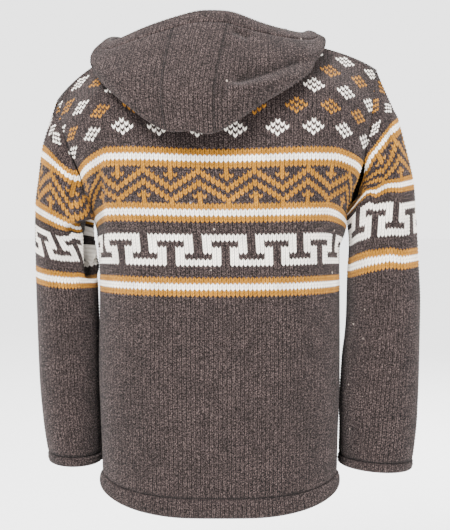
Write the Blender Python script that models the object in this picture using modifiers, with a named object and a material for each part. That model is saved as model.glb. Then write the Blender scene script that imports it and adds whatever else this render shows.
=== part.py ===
"""Hooded hand-knitted wool jacket, filled out as worn, with nobody in it.

Metres, +Z up, the front faces -Y and the wearer's left is +X. The origin is on
the shoulder line at the neck, between the two neck points, where the wearer's
shoulders hold the jacket. Every knitted piece is a wall lofted between unlike
sections. Sections are counted in rows of knitting: row 0 is the top row of the
upper gold band, rows above it are negative and rows below it are positive.
"""

import math

import bmesh
import bpy
import numpy as np
from mathutils import Matrix, Vector

# Sizes in metres.
WALL = 0.004            # thickness of the bulky knitted fabric
HEM_WALL = 0.0065       # the folded hem, two layers
SEAM = 0.0003           # space between two sewn pieces
NECK_GAP = 0.0004       # the hood seam is bulkier and stands this much higher
HOOD_SEAM = 0.0015      # space along the bulky seams of the hood
ROW = 0.00465           # height of one knitted row
TOP_ROW = -39.0         # row that reaches the shoulder ridge
ARMPIT_ROW = 17.0       # row at the armpit
HEM_ROW = 113.0         # row of the hem seam
HEM_ROWS = 7.4          # height of the folded hem in rows
NECK_SPAN = 0.365       # share of the half panel that the neckline takes
NECK_DEPTH = 0.052      # how far the neckline stands behind the shoulder ridge
BACK_SCOOP = 4.0        # rows cast off at the middle of the back neck
FRONT_SCOOP = 17.0      # rows cast off at the middle of the front neck
FRONT_EDGE_X = 0.0052   # each front stops this far from the middle of the zip
TAPE_WIDTH = 0.013
TAPE_THICKNESS = 0.0009
CHAIN_HALF = 0.0028     # half width of the closed zip chain
CHAIN_THICKNESS = 0.0026
RIM_HEIGHT = 0.026      # turned edge round the mouth of the hood
CUFF_ROWS = 3.2         # turned edge at the end of each sleeve

# grid of each wall: shares of the half panel where the columns stand, rows at
# the armhole and side edges, rows of a sleeve and rows of the hood
NECK_BACK = (0.0, 0.065, 0.130, 0.210, 0.290, NECK_SPAN)
NECK_FRONT = (0.0208, 0.105, 0.195, 0.285, NECK_SPAN)
SHOULDER_STEPS = 7
CAP_STEPS, PIT_STEPS, SIDE_STEPS = 7, 4, 11
SLEEVE_STEPS = 16
HOOD_TURNS = (0.0, 1.0, 1.5, 2.0, 2.5, 3.0, 3.6, 4.2, 4.7, 5.2, 5.6, 6.0, 6.4, 6.8)
HOOD_FACE_STEPS = 4
HOOD_FOLD = slice(9, 15)     # rows at the fold, where the fabric is squeezed

# One section of the body for each row listed. half_left and half_right are the
# half widths, back and front the depths at the middle, arm_back and arm_front
# where the armhole edge lies, drop_left and drop_right how far the edge hangs
# below the middle from the share start on, turn the angle (degrees) that the
# section has turned through at its edge, and flat how late it turns.
BODY_COLUMNS = ("row", "z", "half_left", "half_right", "back", "front",
                "arm_back", "arm_front", "drop_left", "drop_right",
                "start", "power", "turn", "flat", "lift", "ridge")
BODY_SECTIONS = (
    (-39, 0, 0.263, 0.249, 0.08, -0.075, 0, 0, 0.095, 0.046, 0.36, 1.5, 60, 2, 0, 1),
    (-34.5, -0.0145, 0.259, 0.2465, 0.088, -0.084, 0.017, -0.017, 0.089, 0.043, 0.38, 1.5, 60, 2, 0, 0.76),
    (-27.5, -0.043, 0.255, 0.2435, 0.098, -0.094, 0.03, -0.032, 0.078, 0.038, 0.42, 1.5, 62, 2, 0.001, 0.36),
    (-20, -0.079, 0.249, 0.239, 0.107, -0.104, 0.038, -0.042, 0.065, 0.032, 0.5, 1.5, 65, 2, 0.003, 0.05),
    (-12, -0.117, 0.241, 0.234, 0.114, -0.111, 0.044, -0.049, 0.05, 0.026, 0.58, 1.35, 70, 2, 0.0045, 0),
    (-4, -0.155, 0.231, 0.227, 0.119, -0.117, 0.047, -0.051, 0.036, 0.021, 0.66, 1.25, 74, 1.95, 0.0045, 0),
    (3, -0.188, 0.2206, 0.223, 0.121, -0.121, 0.045, -0.049, 0.029, 0.0195, 0.68, 1.2, 78, 1.9, 0.004, 0),
    (10, -0.2205, 0.214, 0.212, 0.122, -0.124, 0.034, -0.036, 0.028, 0.023, 0.68, 1.2, 84, 1.85, 0.003, 0),
    (17, -0.2515, 0.208, 0.2016, 0.122, -0.125, 0, 0, 0.026, 0.0255, 0.68, 1.3, 90, 1.8, 0.002, 0),
    (24, -0.284, 0.2015, 0.1945, 0.121, -0.125, 0, 0, 0.018, 0.018, 0.66, 1.5, 90, 1.75, 0.001, 0),
    (32, -0.3225, 0.197, 0.1905, 0.119, -0.125, 0, 0, 0.01, 0.01, 0.6, 1.7, 90, 1.7, 0.0005, 0),
    (45, -0.3835, 0.1955, 0.1915, 0.116, -0.123, 0, 0, 0.003, 0.003, 0.5, 2, 90, 1.7, 0, 0),
    (75, -0.529, 0.1975, 0.1925, 0.113, -0.119, 0, 0, -0.008, -0.008, 0.3, 1.8, 90, 1.7, 0, 0),
    (113, -0.713, 0.193, 0.189, 0.118, -0.121, 0, 0, -0.02, -0.02, 0.2, 1.8, 90, 1.7, 0, 0),
    (121, -0.7468, 0.197, 0.193, 0.119, -0.122, 0, 0, -0.034, -0.033, 0.2, 1.8, 90, 1.7, 0, 0),
)

# Sleeves: outer and inner side, height of the middle, tilt of the ring in
# degrees (outer side raised), half depth, how far back the middle lies and
# how far the underarm hangs below the tilted ring.
SLEEVE_COLUMNS = ("row", "outer", "inner", "z", "tilt", "depth", "y", "sag")
SLEEVE_LEFT = (
    (-14.0, 0.268, 0.206, -0.1270, 38.0, 0.050, 0.000, 0.000),
    (3.0, 0.286, 0.2090, -0.1975, 36.0, 0.058, -0.002, 0.004),
    (12.0, 0.293, 0.2110, -0.2430, 32.0, 0.060, -0.004, 0.006),
    (20.5, 0.299, 0.2130, -0.2830, 25.0, 0.060, -0.006, 0.010),
    (32.0, 0.300, 0.2065, -0.3270, 15.0, 0.060, -0.008, 0.010),
    (45.0, 0.300, 0.2010, -0.3800, 9.0, 0.060, -0.010, 0.004),
    (62.0, 0.299, 0.1995, -0.4600, 6.0, 0.060, -0.014, 0.000),
    (80.0, 0.297, 0.1995, -0.5450, 3.0, 0.060, -0.018, 0.000),
    (95.0, 0.292, 0.1990, -0.6160, 1.0, 0.060, -0.022, 0.000),
    (108.0, 0.283, 0.1965, -0.6840, 0.0, 0.059, -0.026, 0.000),
)
SLEEVE_RIGHT = (
    (-19.0, 0.264, 0.200, -0.0900, 42.0, 0.050, 0.000, 0.000),
    (3.0, 0.287, 0.2050, -0.1760, 42.0, 0.058, -0.002, 0.010),
    (12.0, 0.301, 0.2065, -0.2080, 24.0, 0.060, -0.004, 0.026),
    (20.5, 0.310, 0.2085, -0.2340, 10.0, 0.060, -0.006, 0.040),
    (32.0, 0.315, 0.2085, -0.2870, 8.0, 0.060, -0.008, 0.030),
    (45.0, 0.320, 0.2060, -0.3550, 7.5, 0.060, -0.010, 0.014),
    (62.0, 0.3245, 0.2050, -0.4350, 5.0, 0.060, -0.014, 0.000),
    (80.0, 0.3245, 0.2000, -0.5210, 1.5, 0.060, -0.018, 0.000),
    (97.0, 0.323, 0.1965, -0.6060, -1.5, 0.060, -0.022, 0.000),
    (114.0, 0.315, 0.1955, -0.6935, -4.0, 0.059, -0.026, 0.000),
)
SEAM_ANGLE = 118.0      # where the upper band of the sleeve meets the armhole
ARMHOLE_REACH = 17.0    # rows over which the sleeve eases from the armhole

# Hood, folded down: for each place round the neckline (1 the zip on the
# wearer's left, 0 the middle of the back, -1 the zip on the right) the lowest
# fold, the mouth and how far the outer layer bulges.
HOOD_COLUMNS = ("place", "fold_x", "fold_y", "fold_z",
                "rim_x", "rim_y", "rim_z", "bulge", "stand")
HOOD_SECTIONS = (
    (-1.00, -0.030, -0.138, -0.090, -0.016, -0.124, -0.036, 0.004, 0.010),
    (-0.84, -0.082, -0.126, -0.068, -0.056, -0.104, -0.012, 0.008, 0.014),
    (-0.68, -0.130, -0.068, -0.034, -0.098, -0.062, 0.006, 0.012, 0.016),
    (-0.54, -0.157, 0.002, -0.008, -0.118, -0.036, 0.012, 0.014, 0.016),
    (-0.45, -0.160, 0.052, -0.024, -0.140, 0.012, 0.008, 0.014, 0.018),
    (-0.36, -0.123, 0.102, -0.056, -0.114, 0.052, 0.007, 0.022, 0.018),
    (-0.27, -0.066, 0.138, -0.102, -0.064, 0.075, 0.020, 0.030, 0.020),
    (-0.16, 0.0105, 0.163, -0.153, -0.0155, 0.082, 0.0385, 0.030, 0.020),
    (0.00, 0.045, 0.164, -0.147, 0.025, 0.083, 0.0395, 0.030, 0.020),
    (0.16, 0.080, 0.154, -0.149, 0.068, 0.079, 0.0305, 0.030, 0.020),
    (0.27, 0.135, 0.134, -0.113, 0.124, 0.070, 0.0125, 0.026, 0.020),
    (0.36, 0.174, 0.104, -0.080, 0.162, 0.050, -0.003, 0.020, 0.018),
    (0.45, 0.201, 0.058, -0.047, 0.178, 0.014, -0.004, 0.014, 0.018),
    (0.54, 0.190, 0.004, -0.020, 0.148, -0.036, 0.004, 0.014, 0.016),
    (0.68, 0.150, -0.066, -0.036, 0.104, -0.066, 0.004, 0.012, 0.016),
    (0.84, 0.082, -0.126, -0.068, 0.056, -0.104, -0.012, 0.008, 0.014),
    (1.00, 0.030, -0.138, -0.090, 0.016, -0.124, -0.036, 0.004, 0.010),
)
LAYER_ROOM = (0.0, 0.002, 0.006, 0.009, 0.011, 0.012, 0.014, 0.021, 0.027, 0.029, 0.027)
# least distance of each guide point of the hood from the body, neckline to mouth

# slider and pull tab of the zip
SLIDER = (0.0078, 0.0030, 0.0110)       # width, depth, height
PULL = (0.0064, 0.0011, 0.0260)         # width, thickness, length
PIVOT_OUT = 0.0018                      # pivot of the pull in front of the slider
WIRE = 0.0006                           # radius of the slider's bridge


# Interpolation in the tables.
def column(columns, rows, name, at):
    """Value of one column of a table, eased between its rows without overshoot."""
    index = columns.index(name)
    xs = np.array([row[0] for row in rows], float)
    ys = np.array([row[index] for row in rows], float)
    step = np.diff(xs)
    slope = np.diff(ys) / step
    tangent = np.zeros_like(ys)
    tangent[0], tangent[-1] = slope[0], slope[-1]
    for i in range(1, len(xs) - 1):
        if slope[i - 1] * slope[i] > 0.0:
            w1 = 2.0 * step[i] + step[i - 1]
            w2 = step[i] + 2.0 * step[i - 1]
            tangent[i] = (w1 + w2) / (w1 / slope[i - 1] + w2 / slope[i])
    at = np.clip(np.asarray(at, float), xs[0], xs[-1])
    i = np.clip(np.searchsorted(xs, at, side="right") - 1, 0, len(xs) - 2)
    t = (at - xs[i]) / step[i]
    h00 = (1.0 + 2.0 * t) * (1.0 - t) ** 2
    h10 = t * (1.0 - t) ** 2
    h01 = t * t * (3.0 - 2.0 * t)
    h11 = t * t * (t - 1.0)
    return (h00 * ys[i] + h10 * step[i] * tangent[i]
            + h01 * ys[i + 1] + h11 * step[i] * tangent[i + 1])


def ease(t):
    """Smooth step from 0 to 1."""
    t = np.clip(t, 0.0, 1.0)
    return t * t * (3.0 - 2.0 * t)


# Form of the body.
def turned(share, turn, flat):
    """Run and fall of a section that turns through turn by its edge."""
    run = np.zeros_like(share)
    fall = np.zeros_like(share)
    count = 16
    for k in range(count):
        angle = turn * (share * (k + 0.5) / count) ** flat
        run += np.cos(angle)
        fall += np.sin(angle)
    return share * run / count, share * fall / count


def body(face, share, row):
    """Point on the outside of the body.

    face is 1 for the back and -1 for the front, share runs from -1 at the
    wearer's right edge to 1 at the left edge, row is counted as above.
    """
    share, row = np.broadcast_arrays(np.asarray(share, float), np.asarray(row, float))
    get = lambda name: column(BODY_COLUMNS, BODY_SECTIONS, name, row)
    left = share >= 0.0
    across = np.abs(share)
    half = np.where(left, get("half_left"), get("half_right"))
    drop = np.where(left, get("drop_left"), get("drop_right"))
    turn, flat = np.radians(get("turn")), get("flat")
    run, fall = turned(across, turn, flat)
    run_edge, fall_edge = turned(np.ones_like(across), turn, flat)
    depth = get("back") if face > 0 else get("front")
    edge = get("arm_back") if face > 0 else get("arm_front")
    x = np.sign(share) * half * run / run_edge
    y = depth - (depth - edge) * fall / fall_edge
    ridge = get("ridge")
    neck = np.cos(0.5 * math.pi * np.clip(across / NECK_SPAN, 0.0, 1.0)) ** 2
    y = y * (1.0 - ridge) + face * NECK_DEPTH * neck * ridge
    start = get("start")
    hang = np.clip((across - start) / (1.0 - start), 0.0, 2.0) ** get("power")
    lift = np.sin(math.pi * np.clip(across / 1.1, 0.0, 1.0)) ** 2
    z = get("z") - drop * hang + get("lift") * lift
    return np.stack([x, y, z], axis=-1)


def neckline_row(face, share):
    """Row where the panel stops at the neckline and the shoulder."""
    scoop = BACK_SCOOP if face > 0 else FRONT_SCOOP
    neck = np.cos(0.5 * math.pi * np.clip(np.abs(share) / NECK_SPAN, 0.0, 1.0)) ** 2
    return TOP_ROW + scoop * neck


def unit(vector):
    """Vectors scaled to length one."""
    length = np.linalg.norm(vector, axis=-1, keepdims=True)
    return vector / np.maximum(length, 1e-12)


def body_normal(face, share, row):
    """Outward direction of the body surface."""
    share, row = np.broadcast_arrays(np.asarray(share, float), np.asarray(row, float))
    a0 = np.clip(share - 0.01, -1.0, 1.0)
    a1 = np.clip(share + 0.01, -1.0, 1.0)
    r0 = np.clip(row - 0.6, TOP_ROW, 121.0)
    r1 = np.clip(row + 0.6, TOP_ROW, 121.0)
    along = body(face, a1, row) - body(face, a0, row)
    down = body(face, share, r1) - body(face, share, r0)
    return unit(np.cross(along, down)) * face


# Form of the sleeves.
def armhole_rows(side, angle):
    """Row of the body and row of the sleeve that meet at an angle of the armhole."""
    first = SLEEVE_LEFT[0][0] if side > 0 else SLEEVE_RIGHT[0][0]
    a = np.abs(np.degrees(angle))
    above = np.clip(a / SEAM_ANGLE, 0.0, 1.0)
    below = np.clip((a - SEAM_ANGLE) / (180.0 - SEAM_ANGLE), 0.0, 1.0)
    body_row = TOP_ROW + (3.0 - TOP_ROW) * above ** 1.05 + (ARMPIT_ROW - 3.0) * below
    bend = 1.05 * (3.0 - TOP_ROW) / (3.0 - first)
    sleeve_row = first + (3.0 - first) * above ** bend + (ARMPIT_ROW - 3.0) * below
    return body_row, sleeve_row


def armhole_point(side, angle):
    """Point on the armhole edge of the body at an angle of the sleeve."""
    row = armhole_rows(side, angle)[0]
    back = body(1, np.full_like(row, side), row)
    front = body(-1, np.full_like(row, side), row)
    return np.where((angle >= 0.0)[..., None], back, front)


def armhole_normal(side, angle):
    """Outward direction of the body at the armhole edge."""
    row = armhole_rows(side, angle)[0]
    back = body_normal(1, np.full_like(row, side), row)
    front = body_normal(-1, np.full_like(row, side), row)
    both = unit(back + front)
    edge = np.clip(np.minimum(np.abs(angle), math.pi - np.abs(angle)) / 0.25, 0.0, 1.0)[..., None]
    own = np.where((angle >= 0.0)[..., None], back, front)
    return unit(own * edge + both * (1.0 - edge))


def tube(side, angle, row):
    """Plain tube of the sleeve; angle 0 is its outer side and 90 degrees its back."""
    table = SLEEVE_LEFT if side > 0 else SLEEVE_RIGHT
    get = lambda name: column(SLEEVE_COLUMNS, table, name, row)
    outer, inner = get("outer"), get("inner")
    middle, half = 0.5 * (outer + inner), 0.5 * (outer - inner)
    cosine, sine = np.cos(angle), np.sin(angle)
    x = middle + half * cosine
    y = get("y") + get("depth") * sine
    under = (0.5 - 0.5 * cosine) ** 4
    z = get("z") + np.tan(np.radians(get("tilt"))) * half * cosine - get("sag") * under
    return np.stack([side * x, y, z], axis=-1)


def sleeve(side, angle, row):
    """Point on the outside of the sleeve, eased onto the armhole."""
    angle, row = np.broadcast_arrays(np.asarray(angle, float), np.asarray(row, float))
    start = armhole_rows(side, angle)[1]
    shift = armhole_point(side, angle) - tube(side, angle, start)
    hold = 1.0 - ease((row - start) / ARMHOLE_REACH)
    return tube(side, angle, row) + shift * hold[..., None]


def sleeve_normal(side, angle, row):
    """Outward direction of the sleeve surface."""
    angle, row = np.broadcast_arrays(np.asarray(angle, float), np.asarray(row, float))
    start = armhole_rows(side, angle)[1]
    r0 = np.maximum(row - 0.6, start)
    r1 = r0 + 1.2
    along = sleeve(side, angle + 0.03, row) - sleeve(side, angle - 0.03, row)
    down = sleeve(side, angle, r1) - sleeve(side, angle, r0)
    return unit(np.cross(along, down)) * side * -1.0


# Form of the hood.
def neckline(place):
    """Point on the neckline: 1 at the zip on the left, 0 at the back, -1 on the right."""
    place = np.asarray(place, float)
    a = np.abs(place)
    sign = np.where(place >= 0.0, 1.0, -1.0)
    back_share = sign * NECK_SPAN * np.clip(a / 0.45, 0.0, 1.0)
    reach = NECK_SPAN - NECK_FRONT[0]
    front_share = sign * (NECK_FRONT[0] + reach * np.clip((1.0 - a) / 0.55, 0.0, 1.0))
    back = body(1, back_share, neckline_row(1, back_share))
    front = body(-1, front_share, neckline_row(-1, front_share))
    return np.where((a <= 0.45)[..., None], back, front)


def kept_clear(point, room):
    """Points moved out along the body's surface direction until they have room."""
    share = np.linspace(-1.0, 1.0, 81)[None, :]
    row = np.linspace(TOP_ROW, 24.0, 64)[:, None]
    spots, ways = [], []
    for face in (1, -1):
        spots.append(body(face, share, row).reshape(-1, 3))
        ways.append(body_normal(face, share, row).reshape(-1, 3))
    spots, ways = np.concatenate(spots), np.concatenate(ways)
    shape = point.shape
    point = point.reshape(-1, 3).copy()
    for _ in range(3):
        gaps = ((point[:, None, :] - spots[None]) ** 2).sum(axis=-1)
        near = gaps.argmin(axis=1)
        height = np.sum((point - spots[near]) * ways[near], axis=-1)
        short = np.maximum(room - height, 0.0)
        point += ways[near] * short[:, None]
    return point.reshape(shape)


def hood_guides():
    """Guide points of the hood at close places, kept clear of the body."""
    place = np.linspace(-1.0, 1.0, 101)
    lines = []
    for number, point in enumerate(hood_profile(place)):
        room = LAYER_ROOM[number]
        if room > 0.0:
            point = kept_clear(point, room)
            for _ in range(6):
                point[1:-1] = 0.5 * point[1:-1] + 0.25 * (point[2:] + point[:-2])
        lines.append(point)
    return place, lines


def hood_lines(place):
    """Guide points at the places asked for."""
    knots, lines = GUIDES
    shape = place.shape
    flat = np.clip(place.reshape(-1), -1.0, 1.0)
    i = np.clip(np.searchsorted(knots, flat, side="right") - 1, 0, len(knots) - 2)
    t = ((flat - knots[i]) / (knots[i + 1] - knots[i]))[:, None]
    out = []
    for line in lines:
        p0 = line[np.maximum(i - 1, 0)]
        p1, p2 = line[i], line[i + 1]
        p3 = line[np.minimum(i + 2, len(knots) - 1)]
        point = 0.5 * (2.0 * p1 + (p2 - p0) * t + (2.0 * p0 - 5.0 * p1 + 4.0 * p2 - p3) * t * t
                       + (3.0 * p1 - p0 - 3.0 * p2 + p3) * t ** 3)
        out.append(point.reshape(shape + (3,)))
    return out


def hood_profile(place):
    """Guide points of the hood from the neckline to the mouth, one row each."""
    get = lambda name: column(HOOD_COLUMNS, HOOD_SECTIONS, name, place)
    base = neckline(place)
    fold = np.stack([get("fold_x"), get("fold_y"), get("fold_z")], axis=-1)
    rim = np.stack([get("rim_x"), get("rim_y"), get("rim_z")], axis=-1)
    out = fold - base
    out[..., 2] = 0.0
    out = unit(out)
    up = np.array([0.0, 0.0, 1.0])
    stand = get("stand")[..., None]
    bulge = get("bulge")[..., None]
    low = base + out * 0.003 + up * stand * 0.55
    top = base + out * 0.010 + up * stand
    reach = np.linalg.norm((fold - base)[..., :2], axis=-1, keepdims=True)
    over = base + (fold - base) * np.maximum(0.22, 0.019 / reach) + up * stand * 0.75
    inner = base + (fold - base) * 0.62 + up * stand * 0.35 + up * 0.004
    turn = fold - out * 0.011 + up * 0.007
    edge = fold + out * 0.005 + up * 0.008
    belly = fold + (rim - fold) * 0.34 + out * bulge
    chest = fold + (rim - fold) * 0.68 + out * bulge * 0.75
    return [base, low, top, over, inner, turn, fold, edge, belly, chest, rim]


def spline(points, share):
    """Smooth curve through guide points; share runs from 0 to 1 by length."""
    points = [np.asarray(point, float) for point in points]
    dense = []
    last = len(points) - 1
    per = 10
    for i in range(last):
        p0 = points[i - 1] if i > 0 else 2.0 * points[0] - points[1]
        p1, p2 = points[i], points[i + 1]
        p3 = points[i + 2] if i + 2 <= last else 2.0 * points[last] - points[last - 1]
        for k in range(per):
            t = k / per
            dense.append(0.5 * (2.0 * p1 + (p2 - p0) * t
                                + (2.0 * p0 - 5.0 * p1 + 4.0 * p2 - p3) * t * t
                                + (3.0 * p1 - p0 - 3.0 * p2 + p3) * t ** 3))
    dense.append(points[last])
    line = np.stack(dense, axis=0)
    length = np.concatenate([np.zeros_like(line[:1, ..., 0]),
                             np.cumsum(np.linalg.norm(np.diff(line, axis=0), axis=-1), axis=0)])
    total = length[-1]
    target = share * total
    below = np.clip((length[:, ...] <= target[None]).sum(axis=0) - 1, 0, len(dense) - 2)
    l0 = np.take_along_axis(length, below[None], axis=0)[0]
    l1 = np.take_along_axis(length, below[None] + 1, axis=0)[0]
    part = ((target - l0) / np.maximum(l1 - l0, 1e-9))[..., None]
    a = np.take_along_axis(line, below[None, ..., None], axis=0)[0]
    b = np.take_along_axis(line, below[None, ..., None] + 1, axis=0)[0]
    return a + (b - a) * part, total, length[::per]


def hood(place, share):
    """Point on the outside of the hood; share 0 is the neckline and 1 the mouth."""
    place, share = np.broadcast_arrays(np.asarray(place, float), np.asarray(share, float))
    return spline(hood_lines(place), share)[0]


def hood_length(place):
    """Length of the hood from neckline to mouth at a place."""
    place = np.asarray(place, float)
    return spline(hood_lines(place), np.ones_like(place))[1]


def hood_shares(place):
    """Shares of the hood's rows: close together where the fabric turns over."""
    place = np.asarray(place, float)
    _, total, at = spline(hood_lines(place), np.ones_like(place))
    at = at / total
    shares = []
    for knot in HOOD_TURNS:
        low = int(knot)
        shares.append(at[low] + (at[low + 1] - at[low]) * (knot - low))
    edge = 1.0 - RIM_HEIGHT / total
    first = shares[-1]
    for step in range(1, HOOD_FACE_STEPS + 1):
        shares.append(first + (edge - first) * step / HOOD_FACE_STEPS)
    return np.stack(shares, axis=0)


def hood_normal(place, share):
    """Outward direction of the hood fabric."""
    place, share = np.broadcast_arrays(np.asarray(place, float), np.asarray(share, float))
    s0 = np.clip(share - 0.012, 0.0, 1.0)
    s1 = np.clip(share + 0.012, 0.0, 1.0)
    p0 = np.clip(place - 0.012, -1.0, 1.0)
    p1 = np.clip(place + 0.012, -1.0, 1.0)
    along = hood(p1, share) - hood(p0, share)
    up = hood(place, s1) - hood(place, s0)
    return unit(np.cross(up, along))


GUIDES = hood_guides()


# Walls.
def shared_edge(first, second):
    """Direction in which two sewn walls both run inwards from their seam."""
    both = unit(first + second)
    half = np.sqrt(np.maximum(0.5 + 0.5 * np.sum(first * second, axis=-1, keepdims=True), 0.0))
    return both / np.maximum(half, 0.88)


def cap_edge(own, other, row):
    """Wall direction at the armhole: shared over the shoulder, free lower down."""
    share = np.clip((-10.0 - row) / 12.0, 0.0, 1.0)[..., None]
    return own * (1.0 - share) + shared_edge(own, other) * share


def wall_mesh(name, outer, inner, wrap=False):
    """Closed wall between an outer and an inner grid of points."""
    rows, columns = outer.shape[:2]
    points = np.concatenate([outer.reshape(-1, 3), inner.reshape(-1, 3)])
    count = rows * columns
    at = lambda r, c, layer: layer * count + r * columns + c % columns
    faces = []
    for r in range(rows - 1):
        for c in range(columns if wrap else columns - 1):
            faces.append((at(r, c, 0), at(r + 1, c, 0), at(r + 1, c + 1, 0), at(r, c + 1, 0)))
            faces.append((at(r, c + 1, 1), at(r + 1, c + 1, 1), at(r + 1, c, 1), at(r, c, 1)))
    for c in range(columns if wrap else columns - 1):
        faces.append((at(0, c, 1), at(0, c, 0), at(0, c + 1, 0), at(0, c + 1, 1)))
        faces.append((at(rows - 1, c, 0), at(rows - 1, c, 1),
                      at(rows - 1, c + 1, 1), at(rows - 1, c + 1, 0)))
    if not wrap:
        for r in range(rows - 1):
            faces.append((at(r, 0, 0), at(r, 0, 1), at(r + 1, 0, 1), at(r + 1, 0, 0)))
            faces.append((at(r, columns - 1, 1), at(r, columns - 1, 0),
                          at(r + 1, columns - 1, 0), at(r + 1, columns - 1, 1)))
    mesh = bpy.data.meshes.new(name)
    mesh.from_pydata([tuple(point) for point in points], [], faces)
    work = bmesh.new()
    work.from_mesh(mesh)
    bmesh.ops.recalc_face_normals(work, faces=work.faces)
    work.to_mesh(mesh)
    work.free()
    mesh.shade_smooth()
    mesh.set_sharp_from_angle(angle=math.radians(50.0))
    return mesh


def finish(name, color, roughness, metallic=0.0):
    """Principled material in one plain finish."""
    material = bpy.data.materials.new(name)
    material.use_nodes = True
    shader = material.node_tree.nodes["Principled BSDF"]
    shader.inputs["Base Color"].default_value = (*color, 1.0)
    shader.inputs["Roughness"].default_value = roughness
    shader.inputs["Metallic"].default_value = metallic
    material.diffuse_color = (*color, 1.0)
    return material


def place_object(name, mesh, material, collection, parent=None):
    """Link a mesh to the jacket's collection as a named object."""
    thing = bpy.data.objects.new(name, mesh)
    mesh.materials.clear()
    mesh.materials.append(material)
    collection.objects.link(thing)
    thing.parent = parent
    return thing


# The panels.
def half_shares(neck):
    """Column shares of half a panel, from its middle or its zip edge to its side."""
    rest = np.linspace(NECK_SPAN, 1.0, SHOULDER_STEPS + 1)[1:]
    return np.concatenate([np.array(neck), rest])


def edge_rows():
    """Rows where the armhole edge and the side seam have their points."""
    cap = np.linspace(TOP_ROW, 3.0, CAP_STEPS + 1)
    pit = np.linspace(3.0, ARMPIT_ROW, PIT_STEPS + 1)[1:]
    side = np.linspace(ARMPIT_ROW, HEM_ROW, SIDE_STEPS + 1)[1:]
    return np.concatenate([cap, pit, side])


def panel_points(face, shares):
    """Outer points and wall directions of the back or of one front."""
    rows = edge_rows()
    fraction = ((rows - TOP_ROW) / (HEM_ROW - TOP_ROW))[:, None]
    share = shares[None, :]
    top = neckline_row(face, share)
    row = top + (HEM_ROW - top) * fraction
    share = np.broadcast_to(share, row.shape)
    outer = body(face, share, row)
    normal = body_normal(face, share, row)
    other = body_normal(-face, share, row)
    inward = normal.copy()
    for index in (0, -1):
        if abs(abs(share[0, index]) - 1.0) > 1e-6:
            continue
        side = 1.0 if share[0, index] > 0 else -1.0
        low = row[:, index] > ARMPIT_ROW - 1e-6
        inward[low, index] = shared_edge(normal[:, index], other[:, index])[low]
        angle = armhole_angle(row[:, index]) * face
        cap = sleeve_normal(side, angle, armhole_rows(side, angle)[1])
        own = armhole_normal(side, angle)
        joined = cap_edge(own, cap, row[:, index])
        inward[~low, index] = joined[~low]
    ridge = (np.abs(share[0]) >= NECK_SPAN - 1e-6) & (np.abs(share[0]) < 1.0)
    inward[0, ridge] = shared_edge(normal[0], other[0])[ridge]
    return outer, inward


def armhole_angle(body_row):
    """Angle of the sleeve at a row of the armhole, the inverse of armhole_rows."""
    angles = np.radians(np.linspace(0.0, 180.0, 1441))
    rows = armhole_rows(1.0, angles)[0]
    return np.interp(body_row, rows, angles)


def drawn_in(edge, beside, amount, closed=False):
    """Points of an edge moved square to it, towards the points beside it."""
    along = np.empty_like(edge)
    if closed:
        along[:] = np.roll(edge, -1, axis=0) - np.roll(edge, 1, axis=0)
    else:
        along[1:-1] = edge[2:] - edge[:-2]
        along[0], along[-1] = edge[1] - edge[0], edge[-1] - edge[-2]
    along = unit(along)
    way = beside - edge
    way = way - along * np.sum(way * along, axis=-1, keepdims=True)
    return edge + unit(way) * amount


def pull_back(outer, inner, amount=SEAM * 0.62, closed=False, last=None):
    """Draw the edges of a wall back from its seams by half the seam space."""
    last = amount if last is None else last
    layers = []
    for points in (outer, inner):
        out = points.copy()
        if not closed:
            out[:, 0] = drawn_in(points[:, 0], points[:, 1], amount)
            out[:, -1] = drawn_in(points[:, -1], points[:, -2], amount)
        out[0] += drawn_in(points[0], points[1], amount, closed) - points[0]
        out[-1] += drawn_in(points[-1], points[-2], last, closed) - points[-1]
        layers.append(out)
    return layers


def build_body(collection, wool, hem_wool):
    """Back, two fronts and the folded hem."""
    half_back = half_shares(NECK_BACK)
    half_front = half_shares(NECK_FRONT)
    jobs = (("back", 1, np.concatenate([-half_back[:0:-1], half_back])),
            ("front_left", -1, half_front),
            ("front_right", -1, -half_front[::-1]))
    for name, face, shares in jobs:
        outer, inward = panel_points(face, shares)
        inner = outer - inward * WALL
        if face < 0:
            # the edge at the zip is straight, whatever the width of the row
            edge = 0 if name == "front_left" else -1
            for layer in (outer, inner):
                layer[:, edge, 0] = math.copysign(FRONT_EDGE_X, shares[edge])
        outer, inner = pull_back(outer, inner)
        place_object(name, wall_mesh(name, outer, inner), wool, collection)
    build_hem(collection, hem_wool, half_back, half_front)


def build_hem(collection, material, half_back, half_front):
    """Folded hem in one band from zip to zip."""
    shares = np.concatenate([half_front[:-1], half_back[::-1], -half_back[1:-1],
                             -half_front[::-1]])
    behind = len(half_back) * 2 - 2
    faces = np.concatenate([-np.ones(len(half_front) - 1), np.ones(behind),
                            -np.ones(len(half_front))])
    rows = HEM_ROW + 0.14 + HEM_ROWS * np.array([0.0, 0.12, 0.55, 0.92, 1.0])
    swell = np.array([0.0, 0.0012, 0.0018, 0.0012, -0.0008])
    thick = np.array([0.0044, 0.0062, 0.0068, 0.0062, 0.0044])
    outer, inner = [], []
    for row, bulge, depth in zip(rows, swell, thick):
        point = np.zeros((len(shares), 3))
        normal = np.zeros((len(shares), 3))
        for i, (share, face) in enumerate(zip(shares, faces)):
            point[i] = body(int(face), share, row)
            normal[i] = body_normal(int(face), share, row)
            if abs(share) == 1.0:
                normal[i] = unit(normal[i] + body_normal(-int(face), share, row))
        outer.append(point + normal * bulge)
        inner.append(point - normal * (depth - bulge))
    outer, inner = np.array(outer), np.array(inner)
    for layer in (outer, inner):
        layer[:, 0, 0] = FRONT_EDGE_X
        layer[:, -1, 0] = -FRONT_EDGE_X
    place_object("hem_band", wall_mesh("hem_band", outer, inner), material, collection)


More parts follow.
